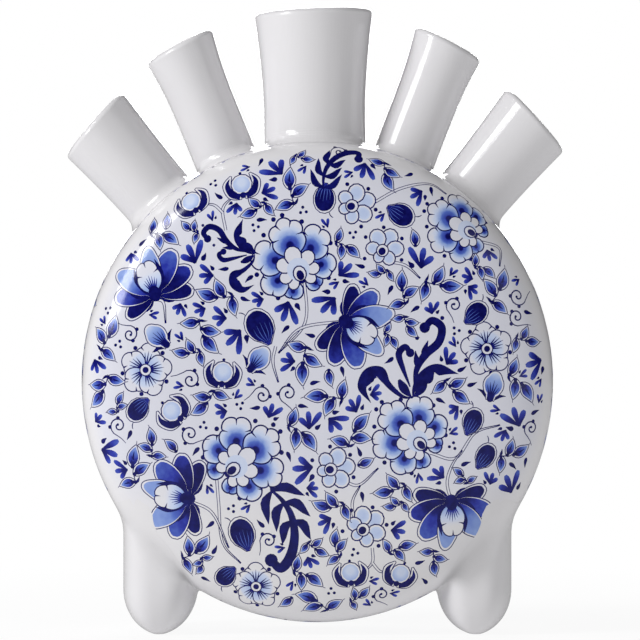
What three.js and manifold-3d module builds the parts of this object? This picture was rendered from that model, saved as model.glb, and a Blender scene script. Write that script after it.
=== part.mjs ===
// A tulip vase: a flat, round, hollow body on two long feet, with five flared
// spouts set in a fan round its shoulder. It is nine pieces of clay, which are
// luted together with slip before the firing.
// Millimetres, Z up, standing on Z = 0, with the front face towards -Y.

import * as THREE from "three";
import { mergeVertices } from "three/addons/utils/BufferGeometryUtils.js";
import Module from "manifold-3d";

const wasm = await Module();
wasm.setup();

// Body: two moulded dishes that meet rim to rim on the plane Y = 0.
const BODY_WIDTH = 142.6;
const BODY_HEIGHT = 145.6;
const BODY_DEPTH = 66;
const BODY_WALL = 4;
const BODY_LIFT = 3.3; // air between the table and the lowest point of the body
const FACE_POWER = 4; // a higher power keeps the face flat further out
const SHOULDER_POWER = 6; // a higher power makes the shoulder squarer

// Spouts: lengths run from the shoulder to the mouth, along the spout's axis.
// Each is straight for a while, then flares to its mouth, faster with a higher
// power. The mouth is cut aslant, by an angle in degrees.
const CENTRE_SPOUT = { waist: 31, mouth: 36.4, length: 40, straight: 8, flare: 1.7, slant: 2 };
const INNER_SPOUT = { waist: 19.2, mouth: 22.6, length: 38.2, straight: 13, flare: 2.5, slant: 6.5 };
const OUTER_SPOUT = { waist: 22.8, mouth: 26, length: 31.9, straight: 4, flare: 1.4, slant: 8 };
const SPOUT_WALL = 3.4;
const SPOUT_SPACING = 2.4; // along the shoulder, between the waists of two spouts
const SEAT_ROLL = 0.9; // radius of the slip smoothed round a spout's seat
const SEAT_EDGE = 0.6; // thickness of that slip at its outer edge
const SEAT_SINK = 6; // clay under the shoulder, before the saddle is cut
const SEAT_BEND = 4; // a higher power leaves the saddle's bend nearer the seat
const SLANT_RISE = 2; // a higher power keeps the slant nearer the mouth
const LIP_RADIUS = 1.5; // at most half the wall
const FAN_LEAN = -0.6; // degrees by which the whole fan was set to the left
const FAN_ROUNDS = 4; // rounds of fitting a spout's place to the curve of the shoulder

// Feet: two long lobes, each with a flat unglazed sole.
const FOOT_WIDTH = 22.4;
const FOOT_INSET = 12.3; // from the side of the body in to the side of the foot
const FOOT_SETBACK = 7; // from the face of the body back to the end of the foot
const FOOT_ROUNDING = 13.5; // height over which the lobe swells from its sole
const FOOT_WALL = 4;
const FOOT_END_POWER = 3; // a higher power makes the ends of the lobe squarer
const SOLE_WIDTH = 4.8;
const FLOOR_WIDTH = 2.4; // flat floor inside the foot
const VENT_DIAMETER = 8; // lets the air out of a foot into the body

// Gap that the slip fills wherever one piece is cut to sit on another.
const LUTING_GAP = 0.3;

// Facets.
const RIM_SIDES = 60;
const DISH_RINGS = 10;
const SPOUT_SIDES = 28;
const FLARE_STEPS = 5;
const LIP_STEPS = 3;
const FOOT_SIDES = 26;
const FOOT_RINGS = 6;
const VENT_SIDES = 12;

const HALF_TURN = Math.PI;
const QUARTER_TURN = Math.PI / 2;
const BODY_CENTRE = BODY_LIFT + BODY_HEIGHT / 2;

// Half the body's size along X, Y and Z, with its skin moved in by an inset.
function halfSize(inset) {
  return new THREE.Vector3(BODY_WIDTH / 2, BODY_DEPTH / 2, BODY_HEIGHT / 2).subScalar(inset);
}

// One ring of the body's skin. Lean goes from 0 at the middle of a face to a
// quarter turn at the joint between the dishes; side is -1 in front, 1 behind.
function skinRing(size, side, lean) {
  const spread = Math.sin(lean) ** (2 / FACE_POWER);
  const out = lean < QUARTER_TURN ? Math.cos(lean) ** (2 / SHOULDER_POWER) : 0;
  return Array.from({ length: RIM_SIDES }, (_, k) => {
    const turn = (2 * HALF_TURN * k) / RIM_SIDES;
    return new THREE.Vector3(
      size.x * spread * Math.cos(turn),
      side * size.y * out,
      size.z * spread * Math.sin(turn),
    );
  });
}

// The rings of one dish, from near the middle of its face to its rim.
function dishRings(size, side) {
  return Array.from({ length: DISH_RINGS }, (_, k) => {
    const last = k === DISH_RINGS - 1;
    return skinRing(size, side, last ? QUARTER_TURN : (QUARTER_TURN * (k + 1)) / DISH_RINGS);
  });
}

// A closed skin from one tip, through rings of equally many points, to another.
function loft(firstTip, rings, lastTip) {
  const sides = rings[0].length;
  const points = [firstTip, ...rings.flat(), lastTip];
  const at = (ring, k) => 1 + ring * sides + (k % sides);
  const faces = [];
  for (let k = 0; k < sides; k++) {
    faces.push(0, at(0, k), at(0, k + 1));
    for (let ring = 1; ring < rings.length; ring++) {
      faces.push(at(ring - 1, k), at(ring, k), at(ring, k + 1));
      faces.push(at(ring - 1, k), at(ring, k + 1), at(ring - 1, k + 1));
    }
    faces.push(at(rings.length - 1, k + 1), at(rings.length - 1, k), points.length - 1);
  }
  return new THREE.BufferGeometry().setFromPoints(points).setIndex(faces);
}

// The same skin turned outwards, for rings that run the other way round.
function reversed(geometry) {
  const faces = Array.from(geometry.index.array);
  for (let i = 0; i < faces.length; i += 3) {
    [faces[i + 1], faces[i + 2]] = [faces[i + 2], faces[i + 1]];
  }
  return geometry.setIndex(faces);
}

// A closed geometry as a solid that can be joined and cut.
function solid(geometry) {
  const bare = geometry.clone();
  bare.deleteAttribute("normal");
  bare.deleteAttribute("uv");
  const merged = mergeVertices(bare);
  return new wasm.Manifold(
    new wasm.Mesh({
      numProp: 3,
      vertProperties: new Float32Array(merged.attributes.position.array),
      triVerts: new Uint32Array(merged.index.array),
    }),
  );
}

// A solid as a named mesh with its own glaze.
function piece(name, shape) {
  const mesh = shape.getMesh();
  const geometry = new THREE.BufferGeometry();
  geometry.setAttribute("position", new THREE.BufferAttribute(mesh.vertProperties, 3));
  geometry.setIndex(new THREE.BufferAttribute(mesh.triVerts, 1));
  geometry.computeVertexNormals();
  const glaze = new THREE.MeshStandardMaterial({ color: 0xe4e4ec, roughness: 0.12, metalness: 0 });
  const made = new THREE.Mesh(geometry, glaze);
  made.name = name;
  return made;
}

// The whole body as one full solid, with its skin moved in by an inset.
function pillow(inset) {
  const size = halfSize(inset);
  const front = dishRings(size, -1);
  const back = dishRings(size, 1).slice(0, -1).reverse();
  const frontTip = new THREE.Vector3(0, -size.y, 0);
  const backTip = new THREE.Vector3(0, size.y, 0);
  return loft(frontTip, [...front, ...back], backTip);
}

// One dish: its skin, its flat rim on the joint, and its inner skin.
function dish(side) {
  const outer = halfSize(0);
  const inner = halfSize(BODY_WALL);
  const rings = [...dishRings(outer, side), ...dishRings(inner, side).reverse()];
  const outerTip = new THREE.Vector3(0, side * outer.y, 0);
  const innerTip = new THREE.Vector3(0, side * inner.y, 0);
  const skin = loft(outerTip, rings, innerTip);
  return solid(side < 0 ? skin : reversed(skin));
}

// A step to the side by x and up by z, as shares of the body's half sizes.
function shareOfBody(x, z) {
  return new THREE.Vector2((2 * x) / BODY_WIDTH, (2 * z) / BODY_HEIGHT);
}

// How high the body's skin stands along an axis from its centre, which leans by
// an angle from upright, at a place beside the axis.
function skinHeight(angle, across, deep) {
  const depth = Math.min(Math.abs(deep) / (BODY_DEPTH / 2), 1);
  const spread = (1 - depth ** SHOULDER_POWER) ** (1 / FACE_POWER);
  const along = shareOfBody(Math.sin(angle), Math.cos(angle));
  const beside = shareOfBody(across * Math.cos(angle), -across * Math.sin(angle));
  const skew = along.dot(beside);
  const left = along.lengthSq() * (spread ** 2 - beside.lengthSq());
  return (Math.sqrt(skew ** 2 + left) - skew) / along.lengthSq();
}

// How far the body's skin lies from its centre, at an angle from upright.
function reachOfBody(angle) {
  return skinHeight(angle, 0, 0);
}

// Angle of the next spout out, one spacing from its neighbour along the
// shoulder between the two.
function nextAngle(angle, spout, next) {
  let radius = reachOfBody(angle);
  for (let round = 0; round < FAN_ROUNDS; round++) {
    radius = reachOfBody(angle + (spout.waist + SPOUT_SPACING) / 2 / radius);
  }
  const halfWidths = [spout, next].map((one) => Math.asin(one.waist / 2 / radius));
  return angle + halfWidths[0] + SPOUT_SPACING / radius + halfWidths[1];
}

// Corner of a profile as an arc, from one angle to another.
function corner(x, y, radius, from, to) {
  return Array.from({ length: LIP_STEPS + 1 }, (_, k) => {
    const angle = from + ((to - from) * k) / LIP_STEPS;
    return new THREE.Vector2(x + radius * Math.cos(angle), y + radius * Math.sin(angle));
  });
}

// Closed profile of a spout, as radius and height over the body's centre: its
// foot in the shoulder, the rolled seat, the flare, the round lip and the bore.
function spoutProfile(spout, reach) {
  const waist = spout.waist / 2;
  const mouth = spout.mouth / 2;
  const lip = Math.min(LIP_RADIUS, SPOUT_WALL / 2);
  const foot = reach - SEAT_SINK;
  const shoulder = reach + LUTING_GAP + SEAT_EDGE;
  const top = reach + spout.length;
  const radiusAt = (height) => {
    const run = (height - reach - spout.straight) / (spout.length - spout.straight);
    return waist + (mouth - waist) * Math.max(0, run) ** spout.flare;
  };
  const heights = Array.from({ length: FLARE_STEPS + 1 }, (_, k) => {
    const start = reach + spout.straight;
    return start + ((top - lip - start) * k) / FLARE_STEPS;
  });
  const outside = heights.map((h) => new THREE.Vector2(radiusAt(h), h));
  const inside = heights.map((h) => new THREE.Vector2(radiusAt(h) - SPOUT_WALL, h)).reverse();
  const lipOut = radiusAt(top - lip) - lip;
  const lipIn = lipOut + 2 * lip - SPOUT_WALL;
  return [
    new THREE.Vector2(waist - SPOUT_WALL, foot),
    new THREE.Vector2(waist + SEAT_ROLL, foot),
    ...corner(waist + SEAT_ROLL, shoulder + SEAT_ROLL, SEAT_ROLL, -QUARTER_TURN, -HALF_TURN),
    ...outside,
    ...corner(lipOut, top - lip, lip, 0, QUARTER_TURN).slice(1),
    ...corner(lipIn, top - lip, lip, QUARTER_TURN, HALF_TURN).slice(0, -1),
    ...inside,
    new THREE.Vector2(waist - SPOUT_WALL, foot),
  ];
}

// A spout along Z from the body's centre. Its seat is bent down to the saddle
// of the shoulder, and its mouth is sheared to its slant.
function spoutShape(spout, angle, rise) {
  const reach = reachOfBody(angle);
  const turned = new THREE.LatheGeometry(spoutProfile(spout, reach), SPOUT_SIDES);
  const slope = rise * Math.tan(THREE.MathUtils.degToRad(spout.slant));
  const at = turned.attributes.position;
  for (let i = 0; i < at.count; i++) {
    const across = at.getX(i);
    const height = at.getY(i);
    const share = THREE.MathUtils.clamp((height - reach) / spout.length, 0, 1);
    const drop = reach - skinHeight(angle, across, at.getZ(i));
    const bent = drop * (1 - share) ** SEAT_BEND;
    at.setY(i, height - bent + slope * across * share ** SLANT_RISE);
  }
  turned.rotateX(QUARTER_TURN);
  return turned;
}

// What a round hole takes out of the body's wall, at an angle from upright.
function wallHole(radius, angle, sides) {
  const length = BODY_WALL + 2 * SEAT_SINK;
  const plug = new THREE.CylinderGeometry(radius, radius, length, sides);
  plug.rotateX(QUARTER_TURN);
  plug.translate(0, 0, reachOfBody(angle) - BODY_WALL / 2);
  return solid(plug.rotateY(angle));
}

// One ring of a foot: a long oval with squarish ends.
function footRing(x, z, halfWidth, halfDepth) {
  const power = 2 / FOOT_END_POWER;
  return Array.from({ length: FOOT_SIDES }, (_, k) => {
    const turn = (2 * HALF_TURN * k) / FOOT_SIDES;
    const c = Math.cos(turn);
    const s = Math.sin(turn);
    return new THREE.Vector3(
      x + halfWidth * Math.sign(c) * Math.abs(c) ** power,
      halfDepth * Math.sign(s) * Math.abs(s) ** power,
      z,
    );
  });
}

// The skin of a foot's lobe from its bottom up to the body's centre, with its
// sides moved in by a wall. At the bottom it keeps half a sole's width.
function lobeRings(x, wall, halfSole, floor) {
  const halfWidth = FOOT_WIDTH / 2 - wall;
  const halfDepth = BODY_DEPTH / 2 - FOOT_SETBACK - wall;
  const height = FOOT_ROUNDING - wall;
  const start = Math.asin(halfSole / halfWidth);
  const swell = Array.from({ length: FOOT_RINGS + 1 }, (_, k) => {
    const lean = start + ((QUARTER_TURN - start) * k) / FOOT_RINGS;
    const drawnIn = halfWidth * (1 - Math.sin(lean));
    const z = floor + height * (Math.cos(start) - Math.cos(lean));
    return footRing(x, z, halfWidth - drawnIn, halfDepth - drawnIn);
  });
  return [...swell, footRing(x, 0, halfWidth, halfDepth)];
}

// A foot as a cup of constant wall, open towards the body.
function foot(x) {
  const table = -BODY_CENTRE;
  const floor = table + FOOT_WALL;
  const outside = lobeRings(x, 0, SOLE_WIDTH / 2, table);
  const inside = lobeRings(x, FOOT_WALL, FLOOR_WIDTH / 2, floor);
  const sole = new THREE.Vector3(x, 0, table);
  const inner = new THREE.Vector3(x, 0, floor);
  return solid(reversed(loft(sole, [...outside, ...inside.reverse()], inner)));
}

const vase = new THREE.Group();
const clay = new THREE.Group();
clay.position.z = BODY_CENTRE;
vase.add(clay);

// The fan: neighbours stand one spacing apart, measured along the shoulder.
const innerFan = nextAngle(0, CENTRE_SPOUT, INNER_SPOUT);
const outerFan = nextAngle(innerFan, INNER_SPOUT, OUTER_SPOUT);
const fan = [
  { name: "outer_left_spout", spout: OUTER_SPOUT, angle: -outerFan, rise: 1 },
  { name: "inner_left_spout", spout: INNER_SPOUT, angle: -innerFan, rise: 1 },
  { name: "centre_spout", spout: CENTRE_SPOUT, angle: 0, rise: 1 },
  { name: "inner_right_spout", spout: INNER_SPOUT, angle: innerFan, rise: -1 },
  { name: "outer_right_spout", spout: OUTER_SPOUT, angle: outerFan, rise: -1 },
];
const lean = THREE.MathUtils.degToRad(FAN_LEAN);

const seatCutter = pillow(-LUTING_GAP);
const holes = [];
for (const { name, spout, angle, rise } of fan) {
  const turn = angle + lean;
  const cutter = solid(seatCutter.clone().rotateY(-turn));
  const made = piece(name, solid(spoutShape(spout, turn, rise)).subtract(cutter));
  made.rotation.y = turn;
  clay.add(made);
  holes.push(wallHole(spout.waist / 2 - SPOUT_WALL, turn, SPOUT_SIDES));
}

const footX = BODY_WIDTH / 2 - FOOT_INSET - FOOT_WIDTH / 2;
const underside = solid(seatCutter);
for (const { name, x } of [
  { name: "left_foot", x: -footX },
  { name: "right_foot", x: footX },
]) {
  clay.add(piece(name, foot(x).subtract(underside)));
  const turn = HALF_TURN - Math.asin(x / (BODY_WIDTH / 2));
  holes.push(wallHole(VENT_DIAMETER / 2, turn, VENT_SIDES));
}

for (const { name, side } of [
  { name: "body_front_half", side: -1 },
  { name: "body_back_half", side: 1 },
]) {
  clay.add(piece(name, holes.reduce((half, hole) => half.subtract(hole), dish(side))));
}

export default vase;
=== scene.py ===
import math

import bpy
import numpy as np
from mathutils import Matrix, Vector
from mathutils.geometry import delaunay_2d_cdt


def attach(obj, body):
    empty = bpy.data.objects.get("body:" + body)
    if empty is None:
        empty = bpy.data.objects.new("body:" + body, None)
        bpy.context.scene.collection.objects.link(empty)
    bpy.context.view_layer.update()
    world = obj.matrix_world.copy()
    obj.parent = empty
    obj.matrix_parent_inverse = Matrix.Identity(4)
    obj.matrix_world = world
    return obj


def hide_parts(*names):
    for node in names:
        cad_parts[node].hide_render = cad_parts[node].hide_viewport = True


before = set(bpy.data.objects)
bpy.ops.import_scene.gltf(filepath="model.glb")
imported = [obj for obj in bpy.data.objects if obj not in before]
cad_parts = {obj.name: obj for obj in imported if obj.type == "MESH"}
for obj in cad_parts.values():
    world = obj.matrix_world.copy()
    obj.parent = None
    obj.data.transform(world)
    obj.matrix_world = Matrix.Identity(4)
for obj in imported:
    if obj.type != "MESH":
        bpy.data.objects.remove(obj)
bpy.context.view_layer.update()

# The body's form: a flat, round, hollow pillow of white earthenware, cast in plaster moulds as two equal
# dishes. The dishes are luted together with slip round their rims, on the plane Y = 0, so the joint
# doesn't show under the glaze. Shapes are in millimetres round the body's centre.
MM = 0.001
BODY_WIDTH = 142.6
BODY_HEIGHT = 145.6
BODY_DEPTH = 66.0
BODY_WALL = 4.0
BODY_LIFT = 3.3
FACE_POWER = 4
SHOULDER_POWER = 6
MERIDIAN_TURN = 0.85
MERIDIAN_SAMPLES = 1500
TINY = 1e-9

half_body = np.array([BODY_WIDTH, BODY_DEPTH, BODY_HEIGHT]) / 2
body_centre = np.array([0, 0, BODY_LIFT + BODY_HEIGHT / 2])


def meridian():
    """Length along the skin from the middle of a face to the joint, with the spread and depth there as
    shares of the half sizes: spread to the FACE_POWER and depth to the SHOULDER_POWER add up to 1."""
    flat_spread = np.linspace(0, MERIDIAN_TURN, MERIDIAN_SAMPLES)
    flat_depth = (1 - flat_spread**FACE_POWER) ** (1 / SHOULDER_POWER)
    round_depth = np.linspace(flat_depth[-1], 0, MERIDIAN_SAMPLES)[1:]
    round_spread = (1 - round_depth**SHOULDER_POWER) ** (1 / FACE_POWER)
    spread = np.concatenate([flat_spread, round_spread])
    depth = np.concatenate([flat_depth, round_depth])
    radius = (half_body[0] + half_body[2]) / 2
    steps = np.hypot(np.diff(spread) * radius, np.diff(depth) * half_body[1])
    return np.concatenate([[0], np.cumsum(steps)]), spread, depth


skin_length, skin_spread, skin_depth = meridian()
joint_out = skin_length[-1]


def straight_out(shares, half_sizes):
    """Directions straight out of a skin, at points given as shares of its half sizes."""
    spread = np.hypot(shares[..., 0], shares[..., 2])
    round_slope = FACE_POWER * spread ** (FACE_POWER - 2)
    flat_slope = SHOULDER_POWER * np.abs(shares[..., 1]) ** (SHOULDER_POWER - 2)
    normals = shares * np.stack([round_slope, flat_slope, round_slope], axis=-1) / half_sizes
    return normals / np.maximum(np.linalg.norm(normals, axis=-1, keepdims=True), TINY)


def skin(places, side, wall=0.0):
    """Points and normals of the skin at places on the flat disc that a painter would unroll it to: complex
    millimetres from the middle of a face, with the viewer's right as the real axis. Side is -1 in front."""
    out = np.abs(places)
    direction = places / np.maximum(out, TINY)
    spread = np.interp(out, skin_length, skin_spread)
    depth = np.interp(out, skin_length, skin_depth)
    shares = np.stack([-side * spread * direction.real, side * depth, spread * direction.imag], axis=-1)
    return shares * (half_body - wall), straight_out(shares, half_body - wall)


def unrolled(points, side):
    """The places on the flat disc of points on the skin."""
    x, y, z = (points / half_body).T
    spread = np.hypot(x, z)
    out = np.interp(spread - np.abs(y), skin_spread - skin_depth, skin_length)
    return out * (-side * x + 1j * z) / np.maximum(spread, TINY)


def skin_height(angle, across, deep):
    """How high the skin stands along an axis from the centre that leans by an angle, beside that axis."""
    spread = (1 - np.minimum(np.abs(deep) / half_body[1], 1) ** SHOULDER_POWER) ** (1 / FACE_POWER)
    along = np.array([math.sin(angle), math.cos(angle)]) / half_body[[0, 2]]
    beside = np.array([math.cos(angle), -math.sin(angle)]) / half_body[[0, 2]]
    skew = across * (along @ beside)
    left = (along @ along) * (spread**2 - across**2 * (beside @ beside))
    return (np.sqrt(np.maximum(skew**2 + left, 0)) - skew) / (along @ along)


# The spouts: five tubes of the same clay, each thrown with a flared mouth and a round lip. A spout's foot
# is cut to the saddle of the shoulder, pushed into its hole and luted there, and the slip round it is
# wiped to a hollow curve. All are dipped in plain white glaze.
SPOUT_WALL = 3.4
SPOUT_SPACING = 2.4
FAN_LEAN = math.radians(-0.6)
FAN_ROUNDS = 4
CENTRE = {"waist": 31.0, "mouth": 36.4, "length": 40.0, "straight": 8.0, "flare": 1.7, "slant": 2.0}
INNER = {"waist": 19.2, "mouth": 22.6, "length": 38.2, "straight": 13.0, "flare": 2.5, "slant": 6.5}
OUTER = {"waist": 22.8, "mouth": 26.0, "length": 31.9, "straight": 4.0, "flare": 1.4, "slant": 8.0}
HOLE_EASE = 1.6
SPOUT_BLEND = 3.7
BLEND_SOFTNESS = 1.5
SLEEVE_GAP = 0.2
SLEEVE_REACH = 0.3
SEAT_LIFT = 0.005
SLIP_EDGE = 0.02
LIP_HEIGHT = 1.5
SLANT_RISE = 2
AROUND = 96
SEAT_ROWS = 3
BLEND_ROWS = 12
TUBE_ROWS = 30
LIP_ROWS = 14
BORE_ROWS = 10
BLEND_CROWDING = 1.6
OPEN_ROOM = 200.0
SHARP = math.radians(35)
EDGE_FLUSH = 0.95
EDGE_FORM = 0.003


def gap_beside(angle, spout):
    """The skin's distance from the centre in the gap beside a spout."""
    radius = half_body[2]
    for _ in range(FAN_ROUNDS):
        radius = skin_height(angle + (spout["waist"] + SPOUT_SPACING) / 2 / radius, 0, 0)
    return radius


def edge_of(spout, radius):
    """Angle from a spout's axis to the middle of the gap beside it."""
    return math.asin(spout["waist"] / 2 / radius) + SPOUT_SPACING / 2 / radius


# Each spout stands one spacing from the next along the shoulder, and the whole fan was set slightly to the
# left. A spout's row holds its node, form and lean, the angles from its axis to the middles of the gaps on
# its left and right, and 1 or -1 for a mouth that is higher on the right or on the left.
inner_gap = gap_beside(0, CENTRE)
centre_edge = edge_of(CENTRE, inner_gap)
inner_edge = edge_of(INNER, inner_gap)
inner_angle = centre_edge + inner_edge
outer_gap = gap_beside(inner_angle, INNER)
far_edge = edge_of(INNER, outer_gap)
outer_edge = edge_of(OUTER, outer_gap)
outer_angle = inner_angle + far_edge + outer_edge
fan = [
    ("outer_left_spout", OUTER, FAN_LEAN - outer_angle, (None, outer_edge), 1),
    ("inner_left_spout", INNER, FAN_LEAN - inner_angle, (far_edge, inner_edge), 1),
    ("centre_spout", CENTRE, FAN_LEAN, (centre_edge, centre_edge), 1),
    ("inner_right_spout", INNER, FAN_LEAN + inner_angle, (inner_edge, far_edge), -1),
    ("outer_right_spout", OUTER, FAN_LEAN + outer_angle, (outer_edge, None), -1),
]


class Wire:
    """A number in a node tree, so that a tree's sums can be written as sums."""

    def __init__(self, socket):
        self.socket = socket

    def math(self, operation, *others, clamped=False):
        tree = self.socket.id_data
        node = tree.nodes.new("ShaderNodeMath")
        node.operation = operation
        node.use_clamp = clamped
        for value, slot in zip((self, *others), node.inputs):
            if isinstance(value, Wire):
                tree.links.new(value.socket, slot)
            else:
                slot.default_value = value
        return Wire(node.outputs["Value"])

    def limited(self):
        """The number, kept between 0 and 1."""
        return self.math("ADD", 0, clamped=True)

    def __add__(self, other):
        return self.math("ADD", other)

    def __sub__(self, other):
        return self.math("SUBTRACT", other)

    def __rsub__(self, other):
        return self * -1 + other

    def __mul__(self, other):
        return self.math("MULTIPLY", other)

    def __truediv__(self, other):
        return self.math("DIVIDE", other)

    def __pow__(self, other):
        return self.math("POWER", other)


def wired_skin(size, across, deep):
    """The skin's height beside a spout's axis, as skin_height works it out, in a node tree."""
    spread = (1 - (deep / size["Body depth"]).math("ABSOLUTE") ** SHOULDER_POWER) ** (1 / FACE_POWER)
    sine = size["Lean"].math("SINE")
    cosine = size["Lean"].math("COSINE")
    along = (sine / size["Body width"]) ** 2 + (cosine / size["Body height"]) ** 2
    beside = (cosine / size["Body width"]) ** 2 + (sine / size["Body height"]) ** 2
    turned = sine * cosine * (size["Body width"] ** -2 - size["Body height"] ** -2)
    skew = across * turned
    left = along * (spread * spread - across * across * beside)
    return ((skew * skew + left).math("SQRT") - skew) / along


def spout_inputs(tree):
    """Gives a spout's tree its named inputs, and returns the node that holds them and their numbers."""
    names = ["Waist", "Mouth", "Length", "Straight", "Flare", "Slope", "Wall", "Lean", "Blend", "Room left"]
    names += ["Room right", "Body width", "Body depth", "Body height", "Body wall", "Lift"]
    for name in names:
        tree.interface.new_socket(name, in_out="INPUT", socket_type="NodeSocketFloat")
    tree.interface.new_socket("Glaze", in_out="INPUT", socket_type="NodeSocketMaterial")
    given = tree.nodes.new("NodeGroupInput")
    return given, {name: Wire(given.outputs[name]) for name in names}


def spout_place(size, turn, row):
    """Where a spout's sheet lies across, deep and up from the body's centre, for a turn round the spout and
    a row along it: up the sleeve, out to the slip's edge, up the outside, over the lip and down the bore."""
    run = row - SEAT_ROWS
    blend_share = (run / BLEND_ROWS).limited()
    tube_share = ((run - BLEND_ROWS) / TUBE_ROWS).limited()
    lip_share = ((run - BLEND_ROWS - TUBE_ROWS) / LIP_ROWS).limited()
    bore_share = ((run - BLEND_ROWS - TUBE_ROWS - LIP_ROWS) / BORE_ROWS).limited()
    cosine = turn.math("COSINE")
    sine = turn.math("SINE")

    waist = size["Waist"] / 2
    on_right = cosine.math("GREATER_THAN", 0)
    room = size["Room left"] + (size["Room right"] - size["Room left"]) * on_right
    spare = room / (cosine.math("ABSOLUTE") + TINY) - waist
    blend = size["Blend"].math("SMOOTH_MIN", spare, BLEND_SOFTNESS * MM)
    sweep = blend_share**BLEND_CROWDING * (math.pi / 2)
    foot_radius = waist + blend * (1 - sweep.math("SINE"))
    foot_height = wired_skin(size, foot_radius * cosine, foot_radius * sine) + SLIP_EDGE * MM
    foot_height = foot_height + blend * (1 - sweep.math("COSINE"))

    middle = turn * 0
    reach = wired_skin(size, middle, middle)
    top = reach + size["Length"] - LIP_HEIGHT * MM
    bore = waist - size["Wall"]
    bore_foot = wired_skin(size, bore * cosine, bore * sine) - size["Body wall"] - SLEEVE_REACH * MM
    wall_height = foot_height + (top - foot_height) * tube_share + (bore_foot - top) * bore_share
    past_straight = (wall_height - reach - size["Straight"]) / (size["Length"] - size["Straight"])
    flare = (size["Mouth"] - size["Waist"]) / 2 * past_straight.math("MAXIMUM", 0) ** size["Flare"]
    over_lip = lip_share * math.pi
    radius = foot_radius + flare - size["Wall"] / 2 * (1 - over_lip.math("COSINE"))
    height = wall_height + over_lip.math("SINE") * (LIP_HEIGHT * MM)

    sleeve = bore + (HOLE_EASE - SLEEVE_GAP) * MM
    under_edge = row.math("GREATER_THAN", SEAT_ROWS - 1.5)
    at_bottom = row.math("LESS_THAN", 0.5)
    seat_radius = sleeve + (waist + blend - sleeve) * under_edge
    seat_height = wired_skin(size, seat_radius * cosine, seat_radius * sine) + SEAT_LIFT * MM
    seat_height = seat_height - (size["Body wall"] + SLEEVE_REACH * MM) * at_bottom
    above_seat = row.math("GREATER_THAN", SEAT_ROWS - 0.5)
    radius = seat_radius + (radius - seat_radius) * above_seat
    height = seat_height + (height - seat_height) * above_seat
    risen = ((height - reach) / size["Length"]).limited()
    across = radius * cosine
    return across, radius * sine, height + size["Slope"] * across * risen**SLANT_RISE


def spout_tree():
    """One spout as a sheet of quads, rolled up both ways: its last row round and its last one along lie on
    the first ones and are merged with them."""
    tree = bpy.data.node_groups.new("spout", "GeometryNodeTree")
    given, size = spout_inputs(tree)
    tree.interface.new_socket("Geometry", in_out="OUTPUT", socket_type="NodeSocketGeometry")

    rows = SEAT_ROWS + BLEND_ROWS + TUBE_ROWS + LIP_ROWS + BORE_ROWS + 1
    grid = tree.nodes.new("GeometryNodeMeshGrid")
    grid.inputs["Vertices X"].default_value = AROUND + 1
    grid.inputs["Vertices Y"].default_value = rows + 1
    index = Wire(tree.nodes.new("GeometryNodeInputIndex").outputs["Index"])
    turn = (index / (rows + 1)).math("FLOOR") * (2 * math.pi / AROUND)
    row = index.math("MODULO", rows + 1).math("MODULO", rows)
    place = tree.nodes.new("ShaderNodeCombineXYZ")
    for value, slot in zip(spout_place(size, turn, row), place.inputs):
        tree.links.new(value.socket, slot)
    shaped = tree.nodes.new("GeometryNodeSetPosition")
    merged = tree.nodes.new("GeometryNodeMergeByDistance")
    merged.inputs["Distance"].default_value = MM * MM
    edge = Wire(tree.nodes.new("GeometryNodeInputMeshEdgeAngle").outputs["Unsigned Angle"])
    rounded = tree.nodes.new("GeometryNodeSetShadeSmooth")
    rounded.domain = "EDGE"
    leaning = tree.nodes.new("ShaderNodeCombineXYZ")
    lifted = tree.nodes.new("ShaderNodeCombineXYZ")
    stood = tree.nodes.new("GeometryNodeTransform")
    real = tree.nodes.new("GeometryNodeRealizeInstances")
    glazed = tree.nodes.new("GeometryNodeSetMaterial")
    made = tree.nodes.new("NodeGroupOutput")
    for source, target in (
        (grid.outputs["Mesh"], shaped.inputs["Geometry"]),
        (place.outputs["Vector"], shaped.inputs["Position"]),
        (shaped.outputs["Geometry"], merged.inputs["Geometry"]),
        (merged.outputs["Geometry"], rounded.inputs["Geometry"]),
        (edge.math("LESS_THAN", SHARP).socket, rounded.inputs["Shade Smooth"]),
        (rounded.outputs["Geometry"], stood.inputs["Geometry"]),
        (size["Lean"].socket, leaning.inputs["Y"]),
        (leaning.outputs["Vector"], stood.inputs["Rotation"]),
        (size["Lift"].socket, lifted.inputs["Z"]),
        (lifted.outputs["Vector"], stood.inputs["Translation"]),
        (stood.outputs["Geometry"], real.inputs["Geometry"]),
        (real.outputs["Geometry"], glazed.inputs["Geometry"]),
        (given.outputs["Glaze"], glazed.inputs["Material"]),
        (glazed.outputs["Geometry"], made.inputs["Geometry"]),
    ):
        tree.links.new(source, target)
    return tree


def corners_of(mesh):
    """The vertex at each corner of a mesh's faces, and the normal there."""
    vertices = np.zeros(len(mesh.loops), dtype=np.int32)
    mesh.loops.foreach_get("vertex_index", vertices)
    normals = np.zeros((len(mesh.loops), 3), dtype=np.float32)
    mesh.corner_normals.foreach_get("vector", normals.ravel())
    return vertices, normals


def body_form(points):
    """A field that is 0 on the body's skin, at points in millimetres round its centre."""
    x, y, z = np.moveaxis(points / half_body, -1, 0)
    return np.hypot(x, z) ** FACE_POWER + np.abs(y) ** SHOULDER_POWER - 1


def flow_into_body(mesh):
    """Shades the outer edge of the slip as the body under it is shaded, so that no line shows there."""
    points = np.zeros((len(mesh.vertices), 3), dtype=np.float32)
    mesh.vertices.foreach_get("co", points.ravel())
    points = points / MM - body_centre
    vertices, normals = corners_of(mesh)
    out = straight_out(points / half_body, half_body)[vertices]
    flush = np.sum(normals * out, axis=-1) > EDGE_FLUSH
    at_edge = (body_form(points) < EDGE_FORM)[vertices]
    normals[flush & at_edge] = out[flush & at_edge]
    mesh.normals_split_custom_set(normals.tolist())


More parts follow.
